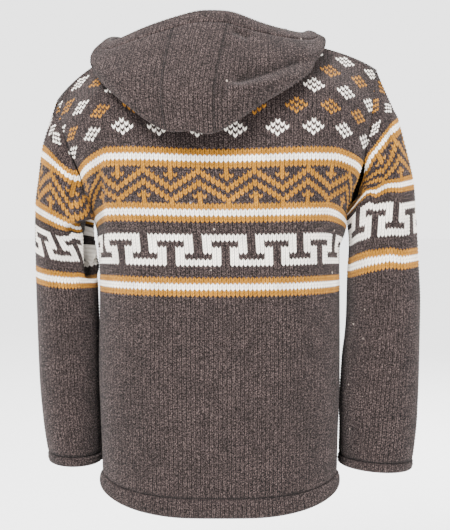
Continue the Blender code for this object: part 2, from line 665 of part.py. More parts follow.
def build_sleeve(collection, side, material, cuff_material):
    """One sleeve with its turned edge."""
    label = "left" if side > 0 else "right"
    table = SLEEVE_LEFT if side > 0 else SLEEVE_RIGHT
    half = armhole_angle(edge_rows()[:CAP_STEPS + PIT_STEPS + 1])
    angle = np.concatenate([half, -half[-2:0:-1]])
    start = armhole_rows(side, angle)[1]
    end = table[-1][0] - CUFF_ROWS
    fraction = (np.linspace(0.0, 1.0, SLEEVE_STEPS + 1) ** 1.3)[:, None]
    row = start + (end - start) * fraction
    full = np.broadcast_to(angle, row.shape)
    outer = sleeve(side, full, row)
    normal = sleeve_normal(side, full, row)
    inward = normal.copy()
    inward[0] = cap_edge(normal[0], armhole_normal(side, angle), armhole_rows(side, angle)[0])
    inward[0] *= 0.6
    inner = outer - inward * WALL
    outer, inner = pull_back(outer, inner, SEAM * 3.0, closed=True, last=0.0)
    name = "sleeve_" + label
    place_object(name, wall_mesh(name, outer, inner, wrap=True), material, collection)
    cuff_rows = (end + CUFF_ROWS * np.array([0.02, 0.2, 0.75, 1.0]))[:, None]
    full = np.broadcast_to(angle, (4, len(angle)))
    swell = np.array([0.0, 0.0010, 0.0012, -0.0006])[:, None, None]
    thick = np.array([0.0042, 0.0058, 0.0060, 0.0044])[:, None, None]
    points = sleeve(side, full, cuff_rows)
    normals = sleeve_normal(side, full, cuff_rows)
    outer = points + normals * swell
    inner = points - normals * (thick - swell)
    name = "cuff_" + label
    place_object(name, wall_mesh(name, outer, inner, wrap=True), cuff_material, collection)


def neck_places():
    """Places round the neckline where the panels have their points, with one between."""
    back = np.array(NECK_BACK) / NECK_SPAN * 0.45
    front = 1.0 - 0.55 * (np.array(NECK_FRONT) - NECK_FRONT[0]) / (NECK_SPAN - NECK_FRONT[0])
    knots = np.concatenate([back, front[-2::-1]])
    return knots


def between(values):
    """Values with their midpoints put between them."""
    middle = 0.5 * (values[:-1] + values[1:])
    out = np.empty(len(values) + len(middle))
    out[0::2], out[1::2] = values, middle
    return out


def neck_edge(place):
    """Upper edge of the panels at the neck, straight between their points."""
    knots = neck_places()
    sides = []
    for s in (1.0, -1.0):
        points = neckline(s * knots)
        sides.append(np.stack([np.interp(np.abs(place), knots, points[:, k])
                               for k in range(3)], axis=-1))
    return np.where((place >= 0.0)[:, None], sides[0], sides[1])


def build_hood(collection, material, rim_material):
    """Three panels of the hood and the turned edge round its mouth."""
    knots = neck_places()
    edge_at = NECK_BACK.index(0.130)
    middle = np.concatenate([-knots[edge_at:0:-1], knots[:edge_at + 1]])
    left = between(knots[edge_at:])
    pieces = (("hood_right", -left[::-1]), ("hood_centre", middle), ("hood_left", left))
    for name, place in pieces:
        place = place[None, :]
        share = hood_shares(place[0])
        full = np.broadcast_to(place, share.shape)
        outer = hood(full, share)
        normal = hood_normal(full, share)
        outer[0] = neck_edge(place[0])
        inward = normal.copy()
        inward[HOOD_FOLD] *= 0.62
        outer[0] += np.array([0.0, 0.0, NECK_GAP])
        inner = outer - inward * WALL
        outer, inner = pull_back(outer, inner, HOOD_SEAM * 0.5)
        place_object(name, wall_mesh(name, outer, inner), material, collection)
    place = np.concatenate([-left[:0:-1], -knots[edge_at:0:-1], knots[:edge_at], left])[None, :]
    edge = 1.0 - RIM_HEIGHT / hood_length(place)
    fraction = np.array([0.0, 0.10, 0.55, 0.94, 1.0])[:, None]
    share = edge + (1.0 - edge) * fraction
    full = np.broadcast_to(place, share.shape)
    swell = np.array([0.0, 0.0010, 0.0014, 0.0008, -0.0008])[:, None, None]
    thick = np.array([0.0042, 0.0058, 0.0062, 0.0056, 0.0040])[:, None, None]
    normal = hood_normal(full, share)
    points = hood(full, share)
    outer = points + normal * swell
    inner = points - normal * (thick - swell)
    outer[0] += unit(outer[1] - outer[0]) * HOOD_SEAM * 0.5
    inner[0] += unit(inner[1] - inner[0]) * HOOD_SEAM * 0.5
    place_object("hood_rim", wall_mesh("hood_rim", outer, inner), rim_material, collection)


# The zip.
def zip_rows():
    """Rows of the zip from the neck to the lower edge of the hem."""
    top = neckline_row(-1, np.array(0.0))
    return np.linspace(float(top) + 1.0, HEM_ROW + HEM_ROWS - 0.3, 25)


def front_line(row, x=0.0):
    """Outer point and outward direction of the front at a distance from its middle."""
    step = np.full_like(row, 0.02)
    share = x / body(-1, step, row)[..., 0] * 0.02
    point = body(-1, share, row)
    normal = body_normal(-1, np.zeros_like(row), row)
    normal[..., 0] = 0.0
    return point, unit(normal)


def build_strip(name, x_from, x_to, near, far, rows, material, collection):
    """Flat strip along the middle of the front, near and far below the surface."""
    outer, inner = [], []
    for x in (x_from, x_to):
        point, normal = front_line(rows, x)
        point[..., 0] = x
        outer.append(point - normal * near)
        inner.append(point - normal * far)
    outer, inner = np.stack(outer, axis=1), np.stack(inner, axis=1)
    return place_object(name, wall_mesh(name, outer, inner), material, collection)


def build_zip(collection, tape, brass):
    """Tapes behind the front edges, the closed chain, the slider and its pull."""
    rows = zip_rows()
    behind = HEM_WALL + 0.0012
    chain_rows = np.linspace(rows[0] + 4.4, rows[-1], 25)
    inner_edge = CHAIN_HALF + SEAM
    for label, side in (("left", 1.0), ("right", -1.0)):
        a, b = side * inner_edge, side * (inner_edge + TAPE_WIDTH)
        build_strip("zip_tape_" + label, min(a, b), max(a, b), behind,
                    behind + TAPE_THICKNESS, rows, tape, collection)
    face = behind - 0.0012
    build_strip("zip_chain", -CHAIN_HALF, CHAIN_HALF, face, face + CHAIN_THICKNESS,
                chain_rows, brass, collection)
    at, normal = front_line(np.array([rows[0] + 3.6]))
    base = Vector(at[0]) - Vector(normal[0]) * (face - SEAM - SLIDER[1] * 0.5)
    lean = math.atan2(normal[0][2], -normal[0][1])
    frame = Matrix.Translation(base) @ Matrix.Rotation(-lean, 4, "X")
    hub = bpy.data.objects.new("zip_frame", None)
    hub.matrix_world = frame
    collection.objects.link(hub)
    bpy.ops.mesh.primitive_cube_add(size=1.0)
    block = bpy.context.object
    block.data.transform(Matrix.Diagonal((*SLIDER, 1.0)))
    bevel = block.modifiers.new("edges", "BEVEL")
    bevel.width, bevel.segments = 0.0009, 2
    front = -SLIDER[1] * 0.5
    path = ((front + 0.0006, 0.0040), (front - 0.0022, 0.0040), (front - 0.0034, 0.0030),
            (front - 0.0034, -0.0030), (front - 0.0022, -0.0040), (front + 0.0006, -0.0040))
    bridge = wire_mesh("bridge", [(0.0, y, z) for y, z in path], WIRE)
    tool = place_object("bridge_join", bridge, brass, collection)
    join = block.modifiers.new("bridge", "BOOLEAN")
    join.operation, join.object = "UNION", tool
    bpy.context.view_layer.update()
    ready = bpy.data.meshes.new_from_object(block.evaluated_get(
        bpy.context.evaluated_depsgraph_get()))
    bpy.data.objects.remove(block)
    bpy.data.objects.remove(tool)
    ready.name = "zip_slider"
    place_object("zip_slider", ready, brass, collection, hub)
    pivot = Matrix.Translation((0.0, front - PIVOT_OUT, 0.0))
    pull = place_object("zip_pull", pull_mesh(), brass, collection, hub)
    pull.matrix_parent_inverse = Matrix.Identity(4)
    pull.matrix_local = pivot


def wire_mesh(name, points, radius):
    """Round wire through points with closed ends, as a mesh."""
    curve = bpy.data.curves.new(name, "CURVE")
    curve.dimensions = "3D"
    curve.bevel_depth, curve.bevel_resolution = radius, 1
    curve.use_fill_caps = True
    line = curve.splines.new("POLY")
    line.points.add(len(points) - 1)
    for knot, point in zip(line.points, points):
        knot.co = (*point, 1.0)
    guide = bpy.data.objects.new(name, curve)
    bpy.context.scene.collection.objects.link(guide)
    bpy.context.view_layer.update()
    mesh = bpy.data.meshes.new_from_object(
        guide.evaluated_get(bpy.context.evaluated_depsgraph_get()))
    work = bmesh.new()
    work.from_mesh(mesh)
    bmesh.ops.remove_doubles(work, verts=work.verts, dist=0.00001)
    bmesh.ops.recalc_face_normals(work, faces=work.faces)
    work.to_mesh(mesh)
    work.free()
    bpy.data.objects.remove(guide)
    return mesh


def pull_mesh():
    """Pull tab: a flat plate with an eye round the bridge; its origin is the pivot."""
    width, thick, length = PULL
    curve = bpy.data.curves.new("pull_outline", "CURVE")
    curve.dimensions, curve.fill_mode, curve.extrude = "2D", "BOTH", thick * 0.5
    bar, eye, half = 0.00055, 0.0062, 0.0016
    outlines = (((-0.0030, bar), (0.0030, bar), (width * 0.5, -0.009), (width * 0.42, -length + 0.002),
                 (width * 0.20, -length), (-width * 0.20, -length),
                 (-width * 0.42, -length + 0.002), (-width * 0.5, -0.009)),
                ((-half, -bar), (half, -bar), (half, -eye), (-half, -eye)))
    for outline in outlines:
        line = curve.splines.new("POLY")
        line.points.add(len(outline) - 1)
        for knot, (x, y) in zip(line.points, outline):
            knot.co = (x, y, 0.0, 1.0)
        line.use_cyclic_u = True
    guide = bpy.data.objects.new("pull_outline", curve)
    bpy.context.scene.collection.objects.link(guide)
    bpy.context.view_layer.update()
    mesh = bpy.data.meshes.new_from_object(
        guide.evaluated_get(bpy.context.evaluated_depsgraph_get()))
    mesh.transform(Matrix.Rotation(math.radians(90.0), 4, "X"))
    work = bmesh.new()
    work.from_mesh(mesh)
    bmesh.ops.remove_doubles(work, verts=work.verts, dist=0.00001)
    bmesh.ops.recalc_face_normals(work, faces=work.faces)
    work.to_mesh(mesh)
    work.free()
    bpy.data.objects.remove(guide)
    return mesh


def main():
    """Build the jacket from its sizes."""
    for thing in list(bpy.data.objects):
        bpy.data.objects.remove(thing)
    collection = bpy.data.collections.new("wool_jacket")
    bpy.context.scene.collection.children.link(collection)
    wool = finish("heather_wool", (0.115, 0.090, 0.085), 0.95)
    hem_wool = finish("heather_wool_hem", (0.105, 0.082, 0.078), 0.95)
    hood_wool = finish("heather_wool_hood", (0.120, 0.095, 0.090), 0.95)
    tape = finish("zip_tape", (0.050, 0.040, 0.038), 0.85)
    brass = finish("antique_brass", (0.42, 0.30, 0.14), 0.38, 1.0)
    build_body(collection, wool, hem_wool)
    build_sleeve(collection, 1.0, wool, hem_wool)
    build_sleeve(collection, -1.0, wool, hem_wool)
    build_hood(collection, hood_wool, hood_wool)
    build_zip(collection, tape, brass)


main()
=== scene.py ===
"""Hooded hand-knitted wool jacket, stitch by stitch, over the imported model.

Metres, +Z up, the front faces -Y and the wearer's left is +X. The knitted
pieces are worked out from the same sections as the solids. Every stitch is a
pair of raised legs, and the yarn of each stitch is read from a knitting chart.
"""

import logging
import math
from dataclasses import dataclass, field
from enum import Enum
from typing import Callable, Iterable, Sequence

import bmesh
import bpy
import numpy as np
from mathutils import Matrix, Vector


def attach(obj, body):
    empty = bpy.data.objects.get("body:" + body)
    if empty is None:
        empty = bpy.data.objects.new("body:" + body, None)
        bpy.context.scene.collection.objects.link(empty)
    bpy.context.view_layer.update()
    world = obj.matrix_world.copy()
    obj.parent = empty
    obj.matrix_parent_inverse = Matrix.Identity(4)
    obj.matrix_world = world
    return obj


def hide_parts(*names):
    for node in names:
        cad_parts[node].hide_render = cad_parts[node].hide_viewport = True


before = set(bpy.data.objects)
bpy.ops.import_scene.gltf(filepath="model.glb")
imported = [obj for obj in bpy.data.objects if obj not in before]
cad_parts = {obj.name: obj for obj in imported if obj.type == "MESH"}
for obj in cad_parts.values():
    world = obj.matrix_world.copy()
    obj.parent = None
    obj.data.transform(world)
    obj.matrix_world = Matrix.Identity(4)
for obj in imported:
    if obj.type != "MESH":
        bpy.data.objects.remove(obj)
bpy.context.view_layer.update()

log = logging.getLogger("jacket")

Array = np.ndarray
Pair = tuple[Array, Array]
Surface = Callable[[Array, Array], Pair]    # points and directions from columns and rows
Profile = Callable[[Array], Array]          # a height or a thickness from rows
Material = bpy.types.Material
Socket = bpy.types.NodeSocket

# Sections of the jacket: those of the solids, but for the heights of the hood's
# rim at -0.54, -0.45 and -0.36, which are evened out here.
BODY_COLUMNS = ("row", "z", "half_left", "half_right", "back", "front",
                "arm_back", "arm_front", "drop_left", "drop_right",
                "start", "power", "turn", "flat", "lift", "ridge")
SLEEVE_COLUMNS = ("row", "outer", "inner", "z", "tilt", "depth", "y", "sag")
HOOD_COLUMNS = ("place", "fold_x", "fold_y", "fold_z",
                "rim_x", "rim_y", "rim_z", "bulge", "stand")
BODY_SECTIONS = (
    (-39, 0, 0.263, 0.249, 0.08, -0.075, 0, 0,
     0.095, 0.046, 0.36, 1.5, 60, 2, 0, 1),
    (-34.5, -0.0145, 0.259, 0.2465, 0.088, -0.084, 0.017, -0.017,
     0.089, 0.043, 0.38, 1.5, 60, 2, 0, 0.76),
    (-27.5, -0.043, 0.255, 0.2435, 0.098, -0.094, 0.03, -0.032,
     0.078, 0.038, 0.42, 1.5, 62, 2, 0.001, 0.36),
    (-20, -0.079, 0.249, 0.239, 0.107, -0.104, 0.038, -0.042,
     0.065, 0.032, 0.5, 1.5, 65, 2, 0.003, 0.05),
    (-12, -0.117, 0.241, 0.234, 0.114, -0.111, 0.044, -0.049,
     0.05, 0.026, 0.58, 1.35, 70, 2, 0.0045, 0),
    (-4, -0.155, 0.231, 0.227, 0.119, -0.117, 0.047, -0.051,
     0.036, 0.021, 0.66, 1.25, 74, 1.95, 0.0045, 0),
    (3, -0.188, 0.2206, 0.223, 0.121, -0.121, 0.045, -0.049,
     0.029, 0.0195, 0.68, 1.2, 78, 1.9, 0.004, 0),
    (10, -0.2205, 0.214, 0.212, 0.122, -0.124, 0.034, -0.036,
     0.028, 0.023, 0.68, 1.2, 84, 1.85, 0.003, 0),
    (17, -0.2515, 0.208, 0.2016, 0.122, -0.125, 0, 0,
     0.026, 0.0255, 0.68, 1.3, 90, 1.8, 0.002, 0),
    (24, -0.284, 0.2015, 0.1945, 0.121, -0.125, 0, 0,
     0.018, 0.018, 0.66, 1.5, 90, 1.75, 0.001, 0),
    (32, -0.3225, 0.197, 0.1905, 0.119, -0.125, 0, 0,
     0.01, 0.01, 0.6, 1.7, 90, 1.7, 0.0005, 0),
    (45, -0.3835, 0.1955, 0.1915, 0.116, -0.123, 0, 0,
     0.003, 0.003, 0.5, 2, 90, 1.7, 0, 0),
    (75, -0.529, 0.1975, 0.1925, 0.113, -0.119, 0, 0,
     -0.008, -0.008, 0.3, 1.8, 90, 1.7, 0, 0),
    (113, -0.713, 0.193, 0.189, 0.118, -0.121, 0, 0,
     -0.02, -0.02, 0.2, 1.8, 90, 1.7, 0, 0),
    (121, -0.7468, 0.197, 0.193, 0.119, -0.122, 0, 0,
     -0.034, -0.033, 0.2, 1.8, 90, 1.7, 0, 0),
)
SLEEVE_LEFT = (
    (-14, 0.268, 0.206, -0.127, 38, 0.05, 0, 0),
    (3, 0.286, 0.209, -0.1975, 36, 0.058, -0.002, 0.004),
    (12, 0.293, 0.211, -0.243, 32, 0.06, -0.004, 0.006),
    (20.5, 0.299, 0.213, -0.283, 25, 0.06, -0.006, 0.01),
    (32, 0.3, 0.2065, -0.327, 15, 0.06, -0.008, 0.01),
    (45, 0.3, 0.201, -0.38, 9, 0.06, -0.01, 0.004),
    (62, 0.299, 0.1995, -0.46, 6, 0.06, -0.014, 0),
    (80, 0.297, 0.1995, -0.545, 3, 0.06, -0.018, 0),
    (95, 0.292, 0.199, -0.616, 1, 0.06, -0.022, 0),
    (108, 0.283, 0.1965, -0.684, 0, 0.059, -0.026, 0),
)
SLEEVE_RIGHT = (
    (-19, 0.264, 0.2, -0.09, 42, 0.05, 0, 0),
    (3, 0.287, 0.205, -0.176, 42, 0.058, -0.002, 0.01),
    (12, 0.301, 0.2065, -0.208, 24, 0.06, -0.004, 0.026),
    (20.5, 0.31, 0.2085, -0.234, 10, 0.06, -0.006, 0.04),
    (32, 0.315, 0.2085, -0.287, 8, 0.06, -0.008, 0.03),
    (45, 0.32, 0.206, -0.355, 7.5, 0.06, -0.01, 0.014),
    (62, 0.3245, 0.205, -0.435, 5, 0.06, -0.014, 0),
    (80, 0.3245, 0.2, -0.521, 1.5, 0.06, -0.018, 0),
    (97, 0.323, 0.1965, -0.606, -1.5, 0.06, -0.022, 0),
    (114, 0.315, 0.1955, -0.6935, -4, 0.059, -0.026, 0),
)
HOOD_SECTIONS = (
    (-1, -0.03, -0.138, -0.09, -0.016, -0.124, -0.036, 0.004, 0.01),
    (-0.84, -0.082, -0.126, -0.068, -0.056, -0.104, -0.012, 0.008, 0.014),
    (-0.68, -0.13, -0.068, -0.034, -0.098, -0.062, 0.006, 0.012, 0.016),
    (-0.54, -0.157, 0.002, -0.008, -0.118, -0.036, 0.0085, 0.014, 0.016),
    (-0.45, -0.16, 0.052, -0.024, -0.14, 0.012, 0.0065, 0.014, 0.018),
    (-0.36, -0.123, 0.102, -0.056, -0.114, 0.052, 0.0095, 0.022, 0.018),
    (-0.27, -0.066, 0.138, -0.102, -0.064, 0.075, 0.02, 0.03, 0.02),
    (-0.16, 0.0105, 0.163, -0.153, -0.0155, 0.082, 0.0385, 0.03, 0.02),
    (0, 0.045, 0.164, -0.147, 0.025, 0.083, 0.0395, 0.03, 0.02),
    (0.16, 0.08, 0.154, -0.149, 0.068, 0.079, 0.0305, 0.03, 0.02),
    (0.27, 0.135, 0.134, -0.113, 0.124, 0.07, 0.0125, 0.026, 0.02),
    (0.36, 0.174, 0.104, -0.08, 0.162, 0.05, -0.003, 0.02, 0.018),
    (0.45, 0.201, 0.058, -0.047, 0.178, 0.014, -0.004, 0.014, 0.018),
    (0.54, 0.19, 0.004, -0.02, 0.148, -0.036, 0.004, 0.014, 0.016),
    (0.68, 0.15, -0.066, -0.036, 0.104, -0.066, 0.004, 0.012, 0.016),
    (0.84, 0.082, -0.126, -0.068, 0.056, -0.104, -0.012, 0.008, 0.014),
    (1, 0.03, -0.138, -0.09, 0.016, -0.124, -0.036, 0.004, 0.01),
)
LAYER_ROOM = (0.0, 0.002, 0.006, 0.009, 0.011, 0.012, 0.014, 0.021, 0.027, 0.029, 0.027)

ROW = 0.00465           # height of one knitted row
TOP_ROW = -39.0         # row at the shoulder ridge
ARMPIT_ROW = 17.0
BOTTOM_ROW = 121.0      # last row of the sections
HEM_ROW = 113.0
HEM_ROWS = 7.4
NECK_SPAN = 0.365       # share of the half panel that the neckline takes
NECK_DEPTH = 0.052
BACK_SCOOP = 4.0
FRONT_SCOOP = 17.0
FRONT_EDGE_X = 0.0052
FRONT_SHARE = 0.0208    # share of the half panel where the front edge lies
CENTRE_PLACE = 0.45 * 0.130 / NECK_SPAN
RIM_HEIGHT = 0.026
CUFF_ROWS = 3.2
SEAM_ANGLE = 118.0
ARMHOLE_REACH = 17.0
STITCH = 0.0069         # width of one stitch of the body
SLEEVE_STITCH = 0.0059
HOOD_STITCH = 0.0071
NECK_GAP = 0.03         # rows left free at the neckline and the rim
HEM_GAP = 0.01          # rows left free above the hem's seam
FOLD_WALL = 0.0026      # wall of the hood, thin because it is folded
THINNEST = 0.0006       # wall that a groove leaves
DIP_REACH = 0.0022      # how far the cloth sinks towards its edges
END_SHADE = 0.0021      # width of the shade in the first and the last row
SIDE_SHADE = 0.0019     # width of the shade along sewn sides
UNEVEN = 0.07           # unevenness of the yarn's height in its colour
DARKEST_TROUGH = 0.013  # depth at which a trough has all of its shade
PER_HALF = 37.8         # stitches in half of the back
CHART_SHARE = -0.029    # share at the back where the chart has its middle stitch
SLEEVE_STITCHES = 60
# Rows that the knitting is pushed along the arm, by angle from its outer side.
SLIDE_ANGLES = (0.0, 60.0, 90.0, 106.0, 125.0, 150.0, 180.0)
SLIDE_ROWS = (-12, 2, 10, 18, 24, 28, 38, 42, 48, 62)
SLIDE_LEFT = (
    (0, 2, 1, 0, 0, -1.5, -1, 0, 0, 0),
    (0, 1.5, 0.7, 0, 0, -1, -0.5, 0, 0, 0),
    (0, 1, 0, 0, 0, -0.8, -0.8, -0.4, -0.4, 0),
    (0, 0.5, 0, 0, -0.6, -2.4, -1.6, -0.8, -0.8, 0),
    (0, 0, 0, 0, -2.6, -6, -2.8, -1.6, -1.5, 0),
    (0, 0, 0, 0, -3.6, -7.4, -2.8, -2, -2, 0),
    (0, 0, 0, 0, -3.6, -7, -2.8, -2, -2, 0),
)
SLIDE_RIGHT = (
    (0, -2.5, -1, -0.7, -0.8, -0.9, -0.9, -0.4, -0.3, 0),
    (0, -2.7, -1.2, -0.8, -1, -1.2, -1.2, -0.9, -0.8, 0),
    (0, -2.4, -1.8, -1.7, -2.3, -2.8, -2.1, -2.4, -2.1, 0),
    (0, -1.2, -1.2, -1.5, -2.2, -3.6, -2.7, -2.8, -2.1, 0),
    (0, 0, -1, -5, -6.2, -6.6, -3.8, -3.6, -2.1, 0),
    (0, 0, 0, -4, -7, -8.3, -4.9, -4.2, -2.1, 0),
    (0, 0, 0, -0.8, -5.4, -7.4, -4.9, -4.2, -2.1, 0),
)


def ease(t: Array) -> Array:
    """Smooth step from 0 to 1."""
    t = np.clip(t, 0.0, 1.0)
    return t * t * (3.0 - 2.0 * t)


def unit(vector: Array) -> Array:
    """Vectors scaled to length one."""
    length = np.linalg.norm(vector, axis=-1, keepdims=True)
    return vector / np.maximum(length, 1e-12)


def even(value: float) -> Profile:
    """Profile with one value in every row."""
    return lambda row: np.full(np.shape(row), value)


def steps_of(rows: Array, values: Sequence[float]) -> Profile:
    """Profile with straight lines between values at some rows."""
    return lambda row: np.interp(row, rows, values)


def grey(value: float) -> tuple[float, float, float, float]:
    """Grey of one linear value."""
    return (value, value, value, 1.0)


@dataclass(frozen=True)
class SectionTable:
    """Named columns of sizes along a piece, eased between their rows."""

    columns: Sequence[str]
    rows: Sequence[Sequence[float]]

    def at(self, name: str, where: Array) -> Array:
        """Value of one column without overshoot.

        Args:
            name: name of the column.
            where: positions along the first column.

        Returns:
            The eased values.
        """
        index = list(self.columns).index(name)
        xs = np.array([row[0] for row in self.rows], float)
        ys = np.array([row[index] for row in self.rows], float)
        step = np.diff(xs)
        slope = np.diff(ys) / step
        tangent = np.zeros_like(ys)
        tangent[0], tangent[-1] = slope[0], slope[-1]
        for i in range(1, len(xs) - 1):
            if slope[i - 1] * slope[i] > 0.0:
                w1 = 2.0 * step[i] + step[i - 1]
                w2 = step[i] + 2.0 * step[i - 1]
                tangent[i] = (w1 + w2) / (w1 / slope[i - 1] + w2 / slope[i])
        where = np.clip(np.asarray(where, float), xs[0], xs[-1])
        i = np.clip(np.searchsorted(xs, where, side="right") - 1, 0, len(xs) - 2)
        t = (where - xs[i]) / step[i]
        return ((1.0 + 2.0 * t) * (1.0 - t) ** 2 * ys[i]
                + t * (1.0 - t) ** 2 * step[i] * tangent[i]
                + t * t * (3.0 - 2.0 * t) * ys[i + 1]
                + t * t * (t - 1.0) * step[i] * tangent[i + 1])


class BodyForm:
    """Outside of the back and of the two fronts."""

    table = SectionTable(BODY_COLUMNS, BODY_SECTIONS)

    def point(self, face: int, share: Array, row: Array) -> Array:
        """Points on the outside of the body.

        Args:
            face: 1 for the back and -1 for the front.
            share: from -1 at the wearer's right edge to 1 at the left edge.
            row: row of knitting.

        Returns:
            The points.
        """
        share, row = np.broadcast_arrays(np.asarray(share, float), np.asarray(row, float))
        get = lambda name: self.table.at(name, row)
        left, across = share >= 0.0, np.abs(share)
        half = np.where(left, get("half_left"), get("half_right"))
        drop = np.where(left, get("drop_left"), get("drop_right"))
        turn, flat = np.radians(get("turn")), get("flat")
        run, fall = self.turned(across, turn, flat)
        run_edge, fall_edge = self.turned(np.ones_like(across), turn, flat)
        depth = get("back") if face > 0 else get("front")
        edge = get("arm_back") if face > 0 else get("arm_front")
        x = np.sign(share) * half * run / run_edge
        y = depth - (depth - edge) * fall / fall_edge
        ridge = get("ridge")
        neck = np.cos(0.5 * math.pi * np.clip(across / NECK_SPAN, 0.0, 1.0)) ** 2
        y = y * (1.0 - ridge) + face * NECK_DEPTH * neck * ridge
        start = get("start")
        hang = np.clip((across - start) / (1.0 - start), 0.0, 2.0) ** get("power")
        lift = np.sin(math.pi * np.clip(across / 1.1, 0.0, 1.0)) ** 2
        return np.stack([x, y, get("z") - drop * hang + get("lift") * lift], axis=-1)

    @staticmethod
    def turned(share: Array, turn: Array, flat: Array) -> Pair:
        """Run and fall of a section that turns through turn by its edge."""
        run, fall = np.zeros_like(share), np.zeros_like(share)
        for k in range(16):
            angle = turn * (share * (k + 0.5) / 16.0) ** flat
            run += np.cos(angle)
            fall += np.sin(angle)
        return share * run / 16.0, share * fall / 16.0

    def normal(self, face: int, share: Array, row: Array) -> Array:
        """Outward directions of the body at the same places as point."""
        share, row = np.broadcast_arrays(np.asarray(share, float), np.asarray(row, float))
        along = (self.point(face, np.clip(share + 0.01, -1.0, 1.0), row)
                 - self.point(face, np.clip(share - 0.01, -1.0, 1.0), row))
        down = (self.point(face, share, np.clip(row + 0.6, TOP_ROW, BOTTOM_ROW))
                - self.point(face, share, np.clip(row - 0.6, TOP_ROW, BOTTOM_ROW)))
        return unit(np.cross(along, down)) * face

    @staticmethod
    def neck_row(face: int, share: Array) -> Array:
        """Row where a panel stops at the neckline and the shoulder."""
        scoop = BACK_SCOOP if face > 0 else FRONT_SCOOP
        return TOP_ROW + scoop * np.cos(
            0.5 * math.pi * np.clip(np.abs(share) / NECK_SPAN, 0.0, 1.0)) ** 2

    def neckline(self, place: Array) -> Array:
        """Points of the neckline: 1 and -1 at the zip, 0 at the back."""
        place = np.asarray(place, float)
        a, sign = np.abs(place), np.where(place >= 0.0, 1.0, -1.0)
        behind = sign * NECK_SPAN * np.clip(a / 0.45, 0.0, 1.0)
        before = sign * (FRONT_SHARE + (NECK_SPAN - FRONT_SHARE)
                         * np.clip((1.0 - a) / 0.55, 0.0, 1.0))
        back = self.point(1, behind, self.neck_row(1, behind))
        front = self.point(-1, before, self.neck_row(-1, before))
        return np.where((a <= 0.45)[..., None], back, front)


class SleeveForm:
    """Outside of one sleeve, eased onto the armhole of the body."""

    def __init__(self, side: int, body: BodyForm) -> None:
        """Take the side, 1 for the wearer's left and -1 for the right."""
        self.side, self.body = side, body
        rows = SLEEVE_LEFT if side > 0 else SLEEVE_RIGHT
        self.table = SectionTable(SLEEVE_COLUMNS, rows)
        self.first, self.end = rows[0][0], rows[-1][0] - CUFF_ROWS

    def armhole_rows(self, angle: Array) -> Pair:
        """Rows of the body and of the sleeve that meet at an angle."""
        a = np.abs(np.degrees(angle))
        above = np.clip(a / SEAM_ANGLE, 0.0, 1.0)
        below = np.clip((a - SEAM_ANGLE) / (180.0 - SEAM_ANGLE), 0.0, 1.0)
        body_row = TOP_ROW + (3.0 - TOP_ROW) * above ** 1.05 + (ARMPIT_ROW - 3.0) * below
        bend = 1.05 * (3.0 - TOP_ROW) / (3.0 - self.first)
        return body_row, self.first + (3.0 - self.first) * above ** bend \
            + (ARMPIT_ROW - 3.0) * below

    def tube(self, angle: Array, row: Array) -> Array:
        """Points of the plain tube; angle 0 is its outer side, 90 degrees its back."""
        get = lambda name: self.table.at(name, row)
        outer, inner = get("outer"), get("inner")
        middle, half = 0.5 * (outer + inner), 0.5 * (outer - inner)
        cosine, sine = np.cos(angle), np.sin(angle)
        under = (0.5 - 0.5 * cosine) ** 4
        z = (get("z") + np.tan(np.radians(get("tilt"))) * half * cosine
             - get("sag") * under)
        return np.stack([self.side * (middle + half * cosine),
                         get("y") + get("depth") * sine, z], axis=-1)

    def point(self, angle: Array, row: Array) -> Array:
        """Points on the outside of the sleeve.

        Args:
            angle: angle round the sleeve in radians.
            row: row of knitting.

        Returns:
            The points.
        """
        angle, row = np.broadcast_arrays(np.asarray(angle, float), np.asarray(row, float))
        body_row, start = self.armhole_rows(angle)
        edge = np.full_like(body_row, self.side)
        hole = np.where((np.sin(angle) >= 0.0)[..., None],
                        self.body.point(1, edge, body_row),
                        self.body.point(-1, edge, body_row))
        shift = hole - self.tube(angle, start)
        hold = 1.0 - ease((row - start) / ARMHOLE_REACH)
        return self.tube(angle, row) + shift * hold[..., None]

    def normal(self, angle: Array, row: Array) -> Array:
        """Outward directions of the sleeve at the same places as point."""
        start = self.armhole_rows(angle)[1]
        r0 = np.maximum(row - 0.6, start)
        along = self.point(angle + 0.03, row) - self.point(angle - 0.03, row)
        down = self.point(angle, r0 + 1.2) - self.point(angle, r0)
        return unit(np.cross(along, down)) * self.side * -1.0


